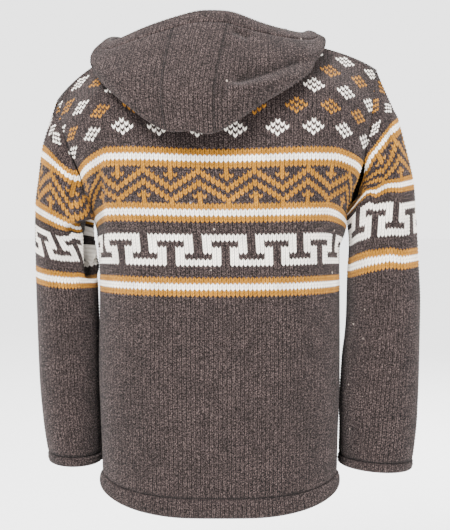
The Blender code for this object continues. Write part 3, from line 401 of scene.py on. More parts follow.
class HoodForm:
    """Outside of the hood, folded down over the back."""

    table = SectionTable(HOOD_COLUMNS, HOOD_SECTIONS)

    def __init__(self, body: BodyForm) -> None:
        """Work out the guide lines of the hood, kept clear of the body."""
        self.body = body
        self.knots = np.linspace(-1.0, 1.0, 101)
        self.lines = []
        for number, point in enumerate(self.profile(self.knots)):
            room = LAYER_ROOM[number]
            if room > 0.0:
                point = self.kept_clear(point, room)
                for _ in range(6):
                    point[1:-1] = 0.5 * point[1:-1] + 0.25 * (point[2:] + point[:-2])
            self.lines.append(point)

    def profile(self, place: Array) -> list[Array]:
        """Guide points from the neckline to the mouth, one row each."""
        get = lambda name: self.table.at(name, place)
        base = self.body.neckline(place)
        fold = np.stack([get("fold_x"), get("fold_y"), get("fold_z")], axis=-1)
        rim = np.stack([get("rim_x"), get("rim_y"), get("rim_z")], axis=-1)
        out = fold - base
        out[..., 2] = 0.0
        out = unit(out)
        up = np.array([0.0, 0.0, 1.0])
        stand, bulge = get("stand")[..., None], get("bulge")[..., None]
        reach = np.linalg.norm((fold - base)[..., :2], axis=-1, keepdims=True)
        return [base, base + out * 0.003 + up * stand * 0.55, base + out * 0.010 + up * stand,
                base + (fold - base) * np.maximum(0.22, 0.019 / reach) + up * stand * 0.75,
                base + (fold - base) * 0.62 + up * stand * 0.35 + up * 0.004,
                fold - out * 0.011 + up * 0.007, fold, fold + out * 0.005 + up * 0.008,
                fold + (rim - fold) * 0.34 + out * bulge,
                fold + (rim - fold) * 0.68 + out * bulge * 0.75, rim]

    def kept_clear(self, point: Array, room: float) -> Array:
        """Points moved out from the body until they have room."""
        share = np.linspace(-1.0, 1.0, 81)[None, :]
        row = np.linspace(TOP_ROW, 24.0, 64)[:, None]
        spots = np.concatenate([self.body.point(face, share, row).reshape(-1, 3)
                                for face in (1, -1)])
        ways = np.concatenate([self.body.normal(face, share, row).reshape(-1, 3)
                               for face in (1, -1)])
        point = point.copy()
        for _ in range(3):
            gaps = ((point[:, None, :] - spots[None]) ** 2).sum(axis=-1)
            near = gaps.argmin(axis=1)
            height = np.sum((point - spots[near]) * ways[near], axis=-1)
            point += ways[near] * np.maximum(room - height, 0.0)[:, None]
        return point

    @staticmethod
    def blended(p0: Array, p1: Array, p2: Array, p3: Array, t: Array) -> Array:
        """Points of a smooth curve between p1 and p2."""
        return 0.5 * (2.0 * p1 + (p2 - p0) * t
                      + (2.0 * p0 - 5.0 * p1 + 4.0 * p2 - p3) * t * t
                      + (3.0 * p1 - p0 - 3.0 * p2 + p3) * t ** 3)

    def curves(self, place: Array) -> Pair:
        """Lines of the hood from neckline to mouth.

        Args:
            place: places round the neckline.

        Returns:
            Points, one line for each place, and the length along each line.
        """
        flat = np.clip(place, -1.0, 1.0)
        i = np.clip(np.searchsorted(self.knots, flat, side="right") - 1, 0, len(self.knots) - 2)
        t = ((flat - self.knots[i]) / (self.knots[i + 1] - self.knots[i]))[:, None]
        last = len(self.knots) - 1
        guides = [self.blended(line[np.maximum(i - 1, 0)], line[i], line[i + 1],
                               line[np.minimum(i + 2, last)], t) for line in self.lines]
        guides = [2.0 * guides[0] - guides[1]] + guides + [2.0 * guides[-1] - guides[-2]]
        dense = []
        for k in range(1, len(guides) - 2):
            dense += [self.blended(*guides[k - 1:k + 3], s / 10.0) for s in range(10)]
        line = np.stack(dense + [guides[-2]], axis=1)
        steps = np.linalg.norm(np.diff(line, axis=1), axis=-1)
        return line, np.concatenate([np.zeros((len(place), 1)), np.cumsum(steps, axis=1)], axis=1)


class Yarn(Enum):
    """Yarns of the jacket and the order of their materials on a piece."""

    HEATHER = 0
    CREAM = 1
    GOLD = 2
    INSIDE = 3


class KnitChart:
    """Colours of the stitches, row by row, charted from usual motifs."""

    DIAMOND = ("..X..", ".X.X.", "X.X.X", ".X.X.", "..X..")
    KEY = ("XXXX..XXXXXX", "..XX..XX....", "XXXX..XXXX..", "XX......XX..", "XXXXXXXXXX..")
    BANDS = (0, 18, 42)                 # first row of each three-colour band
    ZIGZAG_ROW, KEY_ROW = 6, 28
    DIAMOND_ROWS = ((-9, Yarn.CREAM, 0), (-16, Yarn.GOLD, 4), (-23, Yarn.CREAM, 0),
                    (-30, Yarn.GOLD, 4), (-37, Yarn.CREAM, 0))
    DIAMOND_SHIFT = 3

    def yarn(self, column: int, row: int) -> Yarn:
        """Yarn of one stitch.

        Args:
            column: stitch of the row, 0 where the motifs begin.
            row: row, 0 at the top of the upper band.

        Returns:
            The yarn that is knitted there.
        """
        for first in self.BANDS:
            if first <= row < first + 6:
                return Yarn.CREAM if row - first in (2, 3) else Yarn.GOLD
        c = column % 12
        if self.ZIGZAG_ROW <= row < self.ZIGZAG_ROW + 12:
            r, d = row - self.ZIGZAG_ROW, min(c, 12 - c)
            wave = r in (6 - d, 7 - d) or 10 - d <= r <= 11 - d
            spot = (d == 0 and r <= 3) or (d, r) == (1, 2) \
                or (d == 6 and r >= 8) or (d, r) == (5, 9)
            return Yarn.GOLD if wave or spot else Yarn.HEATHER
        if self.KEY_ROW <= row < self.KEY_ROW + 10:
            mark = self.KEY[(row - self.KEY_ROW) // 2][c]
            return Yarn.CREAM if mark == "X" else Yarn.HEATHER
        for first, yarn, shift in self.DIAMOND_ROWS:
            if first <= row < first + 5:
                at = self.in_diamond(column, shift, first == self.DIAMOND_ROWS[0][0])
                if at < 5 and self.DIAMOND[row - first][at] == "X":
                    return yarn
        return Yarn.HEATHER

    def in_diamond(self, column: int, shift: int, lowest: bool) -> int:
        """Stitch of the diamond that a column falls on, 5 or more beside it."""
        return (column - self.DIAMOND_SHIFT - shift + 2) % 8

    def plain(self, column: int, row: int) -> Yarn:
        """Yarn of a piece that is knitted in one colour."""
        return Yarn.HEATHER


class BackChart(KnitChart):
    """The same motifs, whose diamonds step outwards over the shaped yoke."""

    def in_diamond(self, column: int, shift: int, lowest: bool) -> int:
        """Stitch of the diamond, each one moved by whole stitches."""
        far_right = (CHART_SHARE + 1.0) * PER_HALF
        number = (column - self.DIAMOND_SHIFT - shift + 2) // 8
        for middle in ((number + k) * 8 + self.DIAMOND_SHIFT + shift for k in (0, 1)):
            share = (far_right - middle) / (2.0 * PER_HALF)
            slip = max(round(1.7 * (share - 0.1) if lowest else 4.0 * (share - 0.2)), 0)
            if abs(column - middle + slip) <= 2:
                return column - middle + slip + 2
        return 5


class SleeveChart(KnitChart):
    """The same bands with two rows of motifs over the cap."""

    DIAMOND_ROWS = ((-9, Yarn.CREAM, 0), (-16, Yarn.GOLD, 4))


@dataclass(frozen=True)
class Crease:
    """Soft trough or ridge in the cloth, along a line seen from behind."""

    path: tuple[tuple[float, float], ...]   # x and z along the crease
    width: float
    depth: float                            # above 0 a ridge, below 0 a trough
    reach: float = 0.02                     # how softly it fades at its two ends
    other: float | None = None              # width on the right of the line
    side: float = 1.0                       # 1 on cloth that faces back, -1 on the front

    def lift(self, point: Array, normal: Array) -> Array:
        """Height that the crease adds.

        Args:
            point: points of the plain surface.
            normal: outward directions there.

        Returns:
            Metres along the outward direction.
        """
        x, z = point[..., 0], point[..., 2]
        best = np.full(x.shape, 9.0)
        along = np.zeros(x.shape)
        width = np.full(x.shape, self.width)
        spots = np.array(self.path)
        lengths = np.linalg.norm(np.diff(spots, axis=0), axis=1)
        total, before = lengths.sum(), 0.0
        for (a, b), length in zip(zip(spots[:-1], spots[1:]), lengths):
            way = (b - a) / length
            t = np.clip((x - a[0]) * way[0] + (z - a[1]) * way[1], 0.0, length)
            gap = np.hypot(x - a[0] - way[0] * t, z - a[1] - way[1] * t)
            nearer = gap < best
            turn = way[0] * (z - a[1]) - way[1] * (x - a[0])
            own = self.width if self.other is None else np.where(turn > 0.0, self.width, self.other)
            width = np.where(nearer, own, width)
            best = np.where(nearer, gap, best)
            along = np.where(nearer, before + t, along)
            before += length
        fade = ease(along / self.reach) * ease((total - along) / self.reach)
        behind = ease((self.side * normal[..., 1] + 0.15) / 0.3)
        return self.depth * np.exp(-(best / width) ** 2) * fade * behind


@dataclass
class KnitPlan:
    """Where the stitches of one piece lie."""

    name: str
    columns: Array                 # quarter stitches across, in stitches
    low: Array                     # first row at each of them
    high: Array                    # last row at each of them
    surface: Surface
    chart: Callable[[int, int], Yarn]
    wrap: bool = False
    bulge: Profile = even(0.0)          # height of the surface, by row
    wall: Profile = even(0.004)         # thickness, by row
    # how far the cloth sinks at its first and last row and its first and last column
    dips: tuple[float, float, float, float] = (0.0006, 0.0012, 0.0009, 0.0009)
    creases: tuple[Crease, ...] = ()
    relief: float = 0.0026              # height of a stitch
    slant: float = 0.42                 # half the depth of the V, in rows
    stitch: float = STITCH
    seam: float = 0.4                   # how much painted shade lies along the sewn sides
    ends: tuple[float, float] = (0.0, 0.0)  # painted shade in the first and the last row


class Knitter:
    """Knits a plan into one closed mesh."""

    LEGS = ((0.0, 0.25, 0.5, 0.75, 1.0), (0.0, 1.0, 0.36, 1.0, 0.0))
    BETWEEN_ROWS = 0.46         # height of the legs where two rows meet, which also sets the painted shade between rows
    MIDDLE = 0.55               # height of the legs that lies on the surface
    COARSE = (4, 8)             # half rows and quarter stitches a face of the lining
    # painted shade of the lining's points, which darkens the heather walls towards the inside
    INSIDE_PAINTED_SHADE = 0.4

    def __init__(self, plan: KnitPlan) -> None:
        """Take the plan of the piece."""
        self.plan = plan
        self.first = int(math.floor(float(plan.low.min()) + 1e-6))
        self.last = int(math.ceil(float(plan.high.max()) - 1e-6))
        self.halves = 2 * (self.last - self.first)
        self.lift = np.zeros((1, 1))

    def stitches(self) -> tuple[Array, Array, Array]:
        """Places of the vertices.

        Returns:
            The points of the outer face, the row of each and how far each stands
            out of the groove, lowered further as painted shade at the end rows,
            sewn sides and troughs, all by half row and quarter stitch.
        """
        plan = self.plan
        rows = self.first + np.arange(self.halves + 1)[:, None] * 0.5
        part = np.mod(plan.columns + 0.5, 1.0)[None, :]
        drop = plan.slant * (1.0 - 4.0 * np.abs(part - 0.5))
        row = np.clip(rows + drop, plan.low, plan.high)
        row[0], row[-1] = plan.low, plan.high
        column = np.broadcast_to(plan.columns, row.shape)
        point, normal = plan.surface(column, row)
        across = np.interp(part, *self.LEGS)
        on_edge = (np.arange(self.halves + 1) % 2 == 0)[:, None]
        # rise of each leg, also kept as a vertex attribute that the wool turns into painted shade
        # in the grooves between legs and rows
        loft = across * np.where(on_edge, self.BETWEEN_ROWS, 1.0)
        height = plan.relief * (loft - self.MIDDLE)
        from_ends = ((row - plan.low) * ROW, (plan.high - row) * ROW)
        for gap, amount in zip(from_ends, plan.dips):
            height = height - amount * np.exp(-np.maximum(gap, 0.0) / DIP_REACH)
        # painted shade in the first and the last row, where the seam's hollow lies
        for gap, dark in zip(from_ends, plan.ends):
            loft = loft * (1.0 - dark * np.exp(-(gap / END_SHADE) ** 2))
        if not plan.wrap:
            for gap, amount in ((column - plan.columns[0], plan.dips[2]),
                                (plan.columns[-1] - column, plan.dips[3])):
                height = height - amount * np.exp(-gap * plan.stitch / DIP_REACH)
                # painted shade along the sewn sides
                loft = loft * (1.0 - plan.seam * np.exp(-(gap * plan.stitch / SIDE_SHADE) ** 2))
        height = np.maximum(height, THINNEST - plan.wall(row))
        uneven = np.random.default_rng(len(plan.name)).normal(0.0, UNEVEN, row.shape)
        loft = np.clip(loft + uneven * loft, 0.0, 1.2)
        height = height + plan.bulge(row)
        self.lift = np.zeros(row.shape)
        for crease in plan.creases:
            self.lift = self.lift + crease.lift(point, normal)
        height = height + self.lift
        # painted shade in the troughs of the creases
        loft = loft * (1.0 - np.clip(self.lift / -DARKEST_TROUGH, 0.0, 0.88))
        return point + normal * height[..., None], row, loft

    def lining(self) -> tuple[Array, Array, Array]:
        """Coarse inner face of the wall.

        Returns:
            Its points, the quarter stitches it stands at and its rows.
        """
        plan = self.plan
        count = len(plan.columns)
        picks = np.arange(0, count, self.COARSE[1])
        if not plan.wrap and picks[-1] != count - 1:
            picks = np.append(picks, count - 1)
        steps = np.arange(0, self.halves + 1, self.COARSE[0])
        if steps[-1] != self.halves:
            steps = np.append(steps, self.halves)
        low, high = plan.low[picks], plan.high[picks]
        row = np.clip(self.first + steps[:, None] * 0.5, low, high)
        row[0], row[-1] = low, high
        column = np.broadcast_to(plan.columns[picks], row.shape)
        point, normal = plan.surface(column, row)
        height = plan.bulge(row) - plan.wall(row) + self.deepest(picks, steps)
        return point + normal * height[..., None], picks, steps

    def deepest(self, picks: Array, steps: Array) -> Array:
        """Lowest crease of the outer face near each point of the lining."""
        low = self.lift
        if not low.any():
            return np.zeros((len(steps), len(picks)))
        for axis, reach in enumerate(self.COARSE):
            moved = [np.roll(low, k, axis=axis) for k in range(-reach, reach + 1)]
            low = np.min(moved, axis=0)
        return low[np.ix_(steps, picks)]

    def mesh(self) -> bpy.types.Mesh:
        """Closed mesh of the piece, each face with the material index of its yarn."""
        plan = self.plan
        outer, row, loft = self.stitches()
        inner, picks, steps = self.lining()
        count = len(plan.columns)
        grid = np.arange(outer.shape[0] * count).reshape(-1, count)
        grid = np.where(row <= plan.low + 1e-6, grid[0][None, :], grid)
        grid = np.where(row >= plan.high - 1e-6, grid[-1][None, :], grid)
        width = inner.shape[1]
        base = outer.shape[0] * count
        back = base + np.arange(inner.shape[0] * width).reshape(-1, width)
        nxt = np.roll(grid, -1, axis=1) if plan.wrap else grid[:, 1:]
        own = grid if plan.wrap else grid[:, :-1]
        quads = np.stack([own[:-1], own[1:], nxt[1:], nxt[:-1]], axis=-1).reshape(-1, 4)
        steps_across = own.shape[1]
        middle = plan.columns[:steps_across] + 0.12
        stitch = np.floor(middle + 0.5).astype(int)
        rows = self.first + np.arange(self.halves) // 2
        yarns = np.array([[plan.chart(int(c), int(r)).value
                           for c in range(stitch.min(), stitch.max() + 1)]
                          for r in range(self.first, self.last)])
        slots = yarns[(rows - self.first)[:, None], (stitch - stitch.min())[None, :]].reshape(-1)
        faces, colours = [], []
        whole = np.ones(len(quads), bool)
        for i in range(4):
            whole &= quads[:, i] != quads[:, (i + 1) % 4]
        faces += quads[whole].tolist()
        colours += slots[whole].tolist()
        for quad, slot in zip(quads[~whole].tolist(), slots[~whole].tolist()):
            self.add(faces, colours, quad, slot)
        inside = Yarn.INSIDE.value
        spans = width if plan.wrap else width - 1
        for r in range(inner.shape[0] - 1):
            for c in range(spans):
                d = (c + 1) % width
                self.add(faces, colours, [back[r, d], back[r + 1, d], back[r + 1, c],
                                          back[r, c]], inside)
        for r, edge in ((0, 0), (-1, -1)):
            for c in range(spans):
                d = (c + 1) % width
                stop = picks[d] if d else count
                run = [grid[edge, k % count] for k in range(picks[c], stop + 1)]
                ring = run + [back[r, d], back[r, c]]
                self.add(faces, colours, ring if r == 0 else ring[::-1], Yarn.HEATHER.value)
        if not plan.wrap:
            for c in (0, -1):
                for r in range(len(steps) - 1):
                    run = [grid[k, c] for k in range(steps[r], steps[r + 1] + 1)]
                    ring = run + [back[r + 1, c], back[r, c]]
                    self.add(faces, colours, ring if c else ring[::-1], Yarn.HEATHER.value)
        points = np.concatenate([outer.reshape(-1, 3), inner.reshape(-1, 3)])
        loft = np.concatenate([loft.reshape(-1), np.full(inner.size // 3, self.INSIDE_PAINTED_SHADE)])
        return self.closed(points, faces, colours, loft)

    @staticmethod
    def add(faces: list[list[int]], colours: list[int], ring: Iterable[int], slot: int) -> None:
        """Add a face without its doubled corners, if three are left."""
        clean: list[int] = []
        for corner in ring:
            if not clean or clean[-1] != corner:
                clean.append(int(corner))
        if clean[0] == clean[-1]:
            clean.pop()
        if len(set(clean)) == len(clean) and len(clean) > 2:
            faces.append(clean)
            colours.append(slot)

    def closed(self, points: Array, faces: list[list[int]], colours: list[int],
               loft: Array) -> bpy.types.Mesh:
        """Mesh of the faces with unused points left out and all faces outward."""
        flat = np.fromiter((i for face in faces for i in face), int)
        used, new = np.unique(flat, return_inverse=True)
        sizes = np.array([len(face) for face in faces])
        starts = np.concatenate([[0], np.cumsum(sizes)[:-1]])
        mesh = bpy.data.meshes.new(self.plan.name)
        mesh.vertices.add(len(used))
        mesh.vertices.foreach_set("co", points[used].astype(np.float32).reshape(-1))
        mesh.loops.add(len(new))
        mesh.loops.foreach_set("vertex_index", new.reshape(-1).astype(np.int32))
        mesh.polygons.add(len(faces))
        mesh.polygons.foreach_set("loop_start", starts.astype(np.int32))
        mesh.polygons.foreach_set("material_index", np.array(colours, np.int32))
        mesh.update(calc_edges=True)
        work = bmesh.new()
        work.from_mesh(mesh)
        bmesh.ops.recalc_face_normals(work, faces=work.faces)
        work.to_mesh(mesh)
        work.free()
        mesh.attributes.new("loft", "FLOAT", "POINT").data.foreach_set(
            "value", loft[used].astype(np.float32))
        mesh.shade_smooth()
        return mesh


def quarter_columns(first: float, last: float) -> Array:
    """Quarter stitches from first to last, both kept, without slivers."""
    inside = np.arange(math.ceil(first * 4.0), math.floor(last * 4.0) + 1) / 4.0
    inside = inside[(inside > first + 0.07) & (inside < last - 0.07)]
    return np.concatenate([[first], inside, [last]])


def from_hex(code: str) -> tuple[float, float, float, float]:
    """Linear colour of a six-digit web colour."""
    parts = [int(code[i:i + 2], 16) / 255.0 for i in (0, 2, 4)]
    return (*[c / 12.92 if c <= 0.04045 else ((c + 0.055) / 1.055) ** 2.4 for c in parts], 1.0)


class NodeBench:
    """Short calls for the nodes of one material."""

    def __init__(self, name: str) -> None:
        """Start an empty material with its output and its main shader."""
        self.material = bpy.data.materials.new(name)
        self.material.use_nodes = True
        self.nodes = self.material.node_tree.nodes
        self.links = self.material.node_tree.links
        self.shader = self.nodes["Principled BSDF"]
        self.place = self.nodes.new("ShaderNodeTexCoord").outputs["Object"]

    def add(self, kind: str, values: dict[str | int, object] | None = None,
            **settings: object) -> bpy.types.Node:
        """Add a node.

        Args:
            kind: type of the node, without its usual prefix.
            values: values or sources of its sockets.
            settings: its own properties.

        Returns:
            The node.
        """
        node = self.nodes.new("ShaderNode" + kind)
        for key, value in settings.items():
            setattr(node, key, value)
        for key, value in (values or {}).items():
            if isinstance(value, Socket):
                self.links.new(value, node.inputs[key])
            else:
                node.inputs[key].default_value = value
        return node

    def noise(self, scale: float, detail: float = 2.0, rough: float = 0.6,
              stretch: tuple[float, float, float] = (1.0, 1.0, 1.0)) -> Socket:
        """Noise over the piece, in turns per metre."""
        where = self.add("Mapping", {"Vector": self.place, "Scale": stretch}).outputs[0]
        return self.add("TexNoise", {"Vector": where, "Scale": scale, "Detail": detail,
                                     "Roughness": rough}).outputs["Fac"]

    def ramp(self, fac: Socket, stops: Sequence[tuple[float, tuple[float, ...]]]) -> Socket:
        """Colours along a factor."""
        node = self.add("ValToRGB", {"Fac": fac})
        line = node.color_ramp.elements
        while len(line) < len(stops):
            line.new(0.5)
        for stop, (at, colour) in zip(line, stops):
            stop.position, stop.color = at, colour
        return node.outputs["Color"]

    def mixed(self, fac: Socket | float, a: object, b: object, blend: str = "MIX") -> Socket:
        """Two colours mixed."""
        return self.add("Mix", {0: fac, 6: a, 7: b}, data_type="RGBA",
                        blend_type=blend).outputs[2]

    def bump(self, height: Socket, distance: float, strength: float = 1.0) -> None:
        """Relief of the surface from a height."""
        node = self.add("Bump", {"Height": height, "Distance": distance, "Strength": strength})
        self.links.new(node.outputs[0], self.shader.inputs["Normal"])

    def set(self, **values: object) -> None:
        """Set sockets of the main shader; underscores stand for spaces."""
        for key, value in values.items():
            socket = self.shader.inputs[key.replace("_", " ")]
            if isinstance(value, Socket):
                self.links.new(value, socket)
            else:
                socket.default_value = value


@dataclass(frozen=True)
class WoolFinish:
    """Plied wool with flecks, soft fibres and a dull surface."""

    name: str
    dark: str
    middle: str
    light: str
    fleck: float = 1.0          # how much of the flecks shows
    sheen: float = 0.25
    groove: float = 0.25        # light that is left between two columns
    neps: bool = False          # small knots of pale wool

    def make(self) -> Material:
        """Make the material."""
        bench = NodeBench(self.name)
        mottle = bench.noise(430.0, 3.0, 0.72)
        fibre = bench.noise(1500.0, 2.0, 0.7, (1.0, 1.0, 0.45))
        wide = bench.noise(34.0, 2.0)
        both = bench.add("Math", {0: mottle, 1: fibre}, operation="ADD").outputs[0]
        both = bench.add("Math", {0: both, 1: 0.5}, operation="MULTIPLY").outputs[0]
        spread = 0.13 / max(self.fleck, 0.05)
        colour = bench.ramp(both, ((0.5 - spread, from_hex(self.dark)),
                                   (0.5, from_hex(self.middle)),
                                   (0.5 + spread * 0.9, from_hex(self.light))))
        tone = bench.ramp(wide, ((0.3, grey(0.8)), (0.7, grey(1.14))))
        if self.neps:
            specks = bench.add("TexVoronoi", {"Vector": bench.place, "Scale": 58.0}).outputs
            near = bench.ramp(specks["Distance"], ((0.085, grey(1)), (0.125, grey(0))))
            pick = bench.ramp(specks["Color"], ((0.80, grey(0)), (0.84, grey(1))))
            both_picked = bench.mixed(1.0, near, pick, "MULTIPLY")
            colour = bench.mixed(both_picked, colour, from_hex("a29489"))
        colour = bench.mixed(1.0, colour, tone, "MULTIPLY")
        # painted shade and light: the attribute darkens grooves, end rows, sewn sides, troughs and
        # the lining's walls, and lightens the tops of the legs
        loft = bench.add("Attribute", attribute_name="loft").outputs["Fac"]
        groove = bench.ramp(loft, ((0.0, grey(self.groove)), (0.35, grey(0.7)),
                                   (0.75, grey(1.05)), (1.0, grey(1.15))))
        colour = bench.mixed(1.0, colour, groove, "MULTIPLY")
        bench.set(Base_Color=colour, Roughness=0.96, Sheen_Weight=self.sheen,
                  Sheen_Roughness=0.6, Specular_IOR_Level=0.12)
        bench.bump(both, 0.0011, 0.8)
        return bench.material


@dataclass(frozen=True)
class InsideFinish:
    """Inside of the knitting, where each row shows as small bars of yarn."""

    name: str = "wool_inside"

    def make(self) -> Material:
        """Make the material."""
        bench = NodeBench(self.name)
        bars = bench.add("TexWave", {"Vector": bench.place, "Scale": 1.0 / ROW / 6.2832 * 3.1,
                                     "Distortion": 1.2, "Detail": 2.0, "Detail Scale": 30.0},
                         bands_direction="Z").outputs["Fac"]
        mottle = bench.noise(420.0, 3.0, 0.7)
        colour = bench.ramp(mottle, ((0.38, from_hex("120e0d")), (0.52, from_hex("241d1c")),
                                     (0.66, from_hex("453c3a"))))
        both = bench.add("Math", {0: bars, 1: mottle}, operation="ADD").outputs[0]
        bench.set(Base_Color=colour, Roughness=0.97, Sheen_Weight=0.2,
                  Sheen_Roughness=0.6, Specular_IOR_Level=0.1)
        bench.bump(both, 0.0014, 0.9)
        return bench.material


@dataclass(frozen=True)
class TapeFinish:
    """Woven tape of the zip, with a fine diagonal rib."""

    name: str = "zip_tape_weave"

    def make(self) -> Material:
        """Make the material."""
        bench = NodeBench(self.name)
        turn = bench.add("Mapping", {"Vector": bench.place, "Rotation": (0.0, 0.6, 0.0)}).outputs[0]
        rib = bench.add("TexWave", {"Vector": turn, "Scale": 380.0, "Distortion": 0.6},
                        bands_direction="Z").outputs["Fac"]
        colour = bench.ramp(rib, ((0.2, from_hex("1c1716")), (0.8, from_hex("342c2a"))))
        bench.set(Base_Color=colour, Roughness=0.85, Specular_IOR_Level=0.25)
        bench.bump(rib, 0.0003, 0.7)
        return bench.material


@dataclass(frozen=True)
class BrassFinish:
    """Dull antique brass, browner and rougher in random patches."""

    name: str = "antique_brass_rubbed"

    def make(self) -> Material:
        """Make the material."""
        bench = NodeBench(self.name)
        stain = bench.noise(260.0, 4.0, 0.7)
        fine = bench.noise(2600.0, 2.0)
        colour = bench.ramp(stain, ((0.3, from_hex("6b5330")), (0.55, from_hex("a88a52")),
                                    (0.75, from_hex("c9ad74"))))
        rough = bench.ramp(stain, ((0.3, grey(0.52)), (0.7, grey(0.3))))
        bench.set(Base_Color=colour, Metallic=1.0, Roughness=rough)
        bench.bump(fine, 0.00012, 0.5)
        return bench.material


@dataclass(frozen=True)
class StudioFinish:
    """Pale matte paper of the floor and the wall behind."""

    name: str = "studio_paper"

    def make(self) -> Material:
        """Make the material."""
        bench = NodeBench(self.name)
        grain = bench.noise(40.0, 3.0)
        colour = bench.ramp(grain, ((0.3, grey(0.9)), (0.7, grey(0.93))))
        bench.set(Base_Color=colour, Roughness=0.95, Specular_IOR_Level=0.1)
        return bench.material


@dataclass
class Wardrobe:
    """Finished materials, made once and shared by the pieces."""

    heather: Material
    cream: Material
    gold: Material
    inside: Material
    tape: Material
    brass: Material

    @classmethod
    def stocked(cls) -> "Wardrobe":
        """Make every finish of the jacket."""
        return cls(WoolFinish("wool_heather", "070505", "1c1413", "625451",
                              1.25, 0.04, 0.10, True).make(),
                   WoolFinish("wool_cream", "e6dacb", "fcf3e7", "fffcf6", 0.8, 0.08, 0.24).make(),
                   WoolFinish("wool_gold", "643e0a", "956212", "b68638", 0.8, 0.06, 0.20).make(),
                   InsideFinish().make(), TapeFinish().make(), BrassFinish().make())

    def knits(self) -> list[Material]:
        """Materials of a knitted piece in the order of Yarn."""
        return [self.heather, self.cream, self.gold, self.inside]


@dataclass(frozen=True)
class Cut:
    """Flat size of a piece before it was sewn, width and length in metres."""

    width: float
    length: float


def linked(name: str, data: bpy.types.ID) -> bpy.types.Object:
    """New object of some data, linked into the scene."""
    thing = bpy.data.objects.new(name, data)
    bpy.context.scene.collection.objects.link(thing)
    return thing


def hang(plan: KnitPlan, wardrobe: Wardrobe, node: str, cut: Cut) -> None:
    """Args:
        plan: where its stitches lie.
        wardrobe: the finished materials.
        node: solid that it stands for.
        cut: its flat size; not used.
    """
    mesh = Knitter(plan).mesh()
    for material in wardrobe.knits():
        mesh.materials.append(material)
    piece = linked(plan.name, mesh)
    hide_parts(node)
    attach(piece, "garment")
    log.info("%s: %d faces", piece.name, len(mesh.polygons))


@dataclass
class BodyPanels:
    """Back and two fronts."""

    body: BodyForm
    chart: KnitChart
    back_cut: Cut = Cut(0.53, 0.71)
    front_cut: Cut = Cut(0.262, 0.70)
    creases: tuple[Crease, ...] = ()

    @staticmethod
    def lean(row: Array) -> Array:
        """How far the columns of stitches lean to the right going down."""
        return np.interp(row, (-39.0, 6.0, 33.0, 55.0, 113.0), (0.0, 0.0, -0.040, -0.048, -0.05))

    def back_surface(self, column: Array, row: Array) -> Pair:
        """Points and directions of the back."""
        share = CHART_SHARE - column / PER_HALF
        share = np.clip(share + self.lean(row) * (1.0 - share ** 2), -1.0, 1.0)
        return self.body.point(1, share, row), self.body.normal(1, share, row)

    def front_surface(self, side: int) -> Surface:
        """Points and directions of one front, as a function."""
        def surface(column: Array, row: Array) -> Pair:
            """Points with the edge at the zip kept straight."""
            share = side * column / PER_HALF
            point = self.body.point(-1, share, row)
            edge = np.abs(share) <= FRONT_SHARE + 1e-6
            point[..., 0] = np.where(edge, side * FRONT_EDGE_X, point[..., 0])
            near = np.abs(point[..., 0]) < FRONT_EDGE_X
            point[..., 0] = np.where(near, side * FRONT_EDGE_X, point[..., 0])
            return point, self.body.normal(-1, share, row)
        return surface

    def build(self, wardrobe: Wardrobe) -> None:
        """Knit the three panels."""
        columns = quarter_columns((CHART_SHARE - 1.0) * PER_HALF, (CHART_SHARE + 1.0) * PER_HALF)
        share = np.clip(CHART_SHARE - columns / PER_HALF, -1.0, 1.0)
        low = self.body.neck_row(1, share) + NECK_GAP
        plan = KnitPlan("knit_back", columns, low, np.full_like(low, HEM_ROW - HEM_GAP),
                        self.back_surface, BackChart().yarn, creases=self.creases,
                        dips=(0.0006, 0.0022, 0.0009, 0.0009), ends=(0.3, 0.7))
        hang(plan, wardrobe, "back", self.back_cut)
        for label, side in (("left", 1), ("right", -1)):
            columns = quarter_columns(FRONT_SHARE * PER_HALF, PER_HALF)
            low = self.body.neck_row(-1, columns / PER_HALF) + NECK_GAP
            plan = KnitPlan("knit_front_" + label, columns, low,
                            np.full_like(low, HEM_ROW - HEM_GAP), self.front_surface(side),
                            self.chart.yarn, dips=(0.0006, 0.0022, 0.0009, 0.0009),
                            ends=(0.3, 0.7), creases=self.creases)
            hang(plan, wardrobe, "front_" + label, self.front_cut)


@dataclass
class HemBand:
    """Folded hem in one band from zip to zip."""

    body: BodyForm
    chart: KnitChart
    cut: Cut = Cut(1.02, 0.034)

    def surface(self, column: Array, row: Array) -> Pair:
        """Points and directions round the hem from the left zip edge."""
        run = column / PER_HALF
        before = run < 1.0
        after = run > 3.0
        share = np.where(before, run, np.where(after, run - 4.0, 2.0 - run))
        front = before | after
        point = np.where(front[..., None], self.body.point(-1, share, row),
                         self.body.point(1, share, row))
        near = front & ((np.abs(point[..., 0]) < FRONT_EDGE_X)
                        | (np.abs(share) <= FRONT_SHARE + 1e-6))
        point[..., 0] = np.where(near, np.sign(share) * FRONT_EDGE_X, point[..., 0])
        normal = np.where(front[..., None], self.body.normal(-1, share, row),
                          self.body.normal(1, share, row))
        return point, normal

    def build(self, wardrobe: Wardrobe) -> None:
        """Knit the band."""
        top = HEM_ROW + HEM_GAP
        at = np.array([0.0, 0.12, 0.55, 0.92, 1.0]) * HEM_ROWS + top
        bulge = steps_of(at, (0.0, 0.0022, 0.0034, 0.0018, -0.0010))
        wall = steps_of(at, (0.0044, 0.0062, 0.0068, 0.0062, 0.0044))
        columns = quarter_columns(FRONT_SHARE * PER_HALF, (4.0 - FRONT_SHARE) * PER_HALF)
        low = np.full_like(columns, top)
        plan = KnitPlan("knit_hem", columns, low, low + HEM_ROWS, self.surface,
                        self.chart.plain, bulge=bulge, wall=wall,
                        dips=(0.0026, 0.0006, 0.001, 0.001), ends=(0.75, 0.0))
        hang(plan, wardrobe, "hem_band", self.cut)


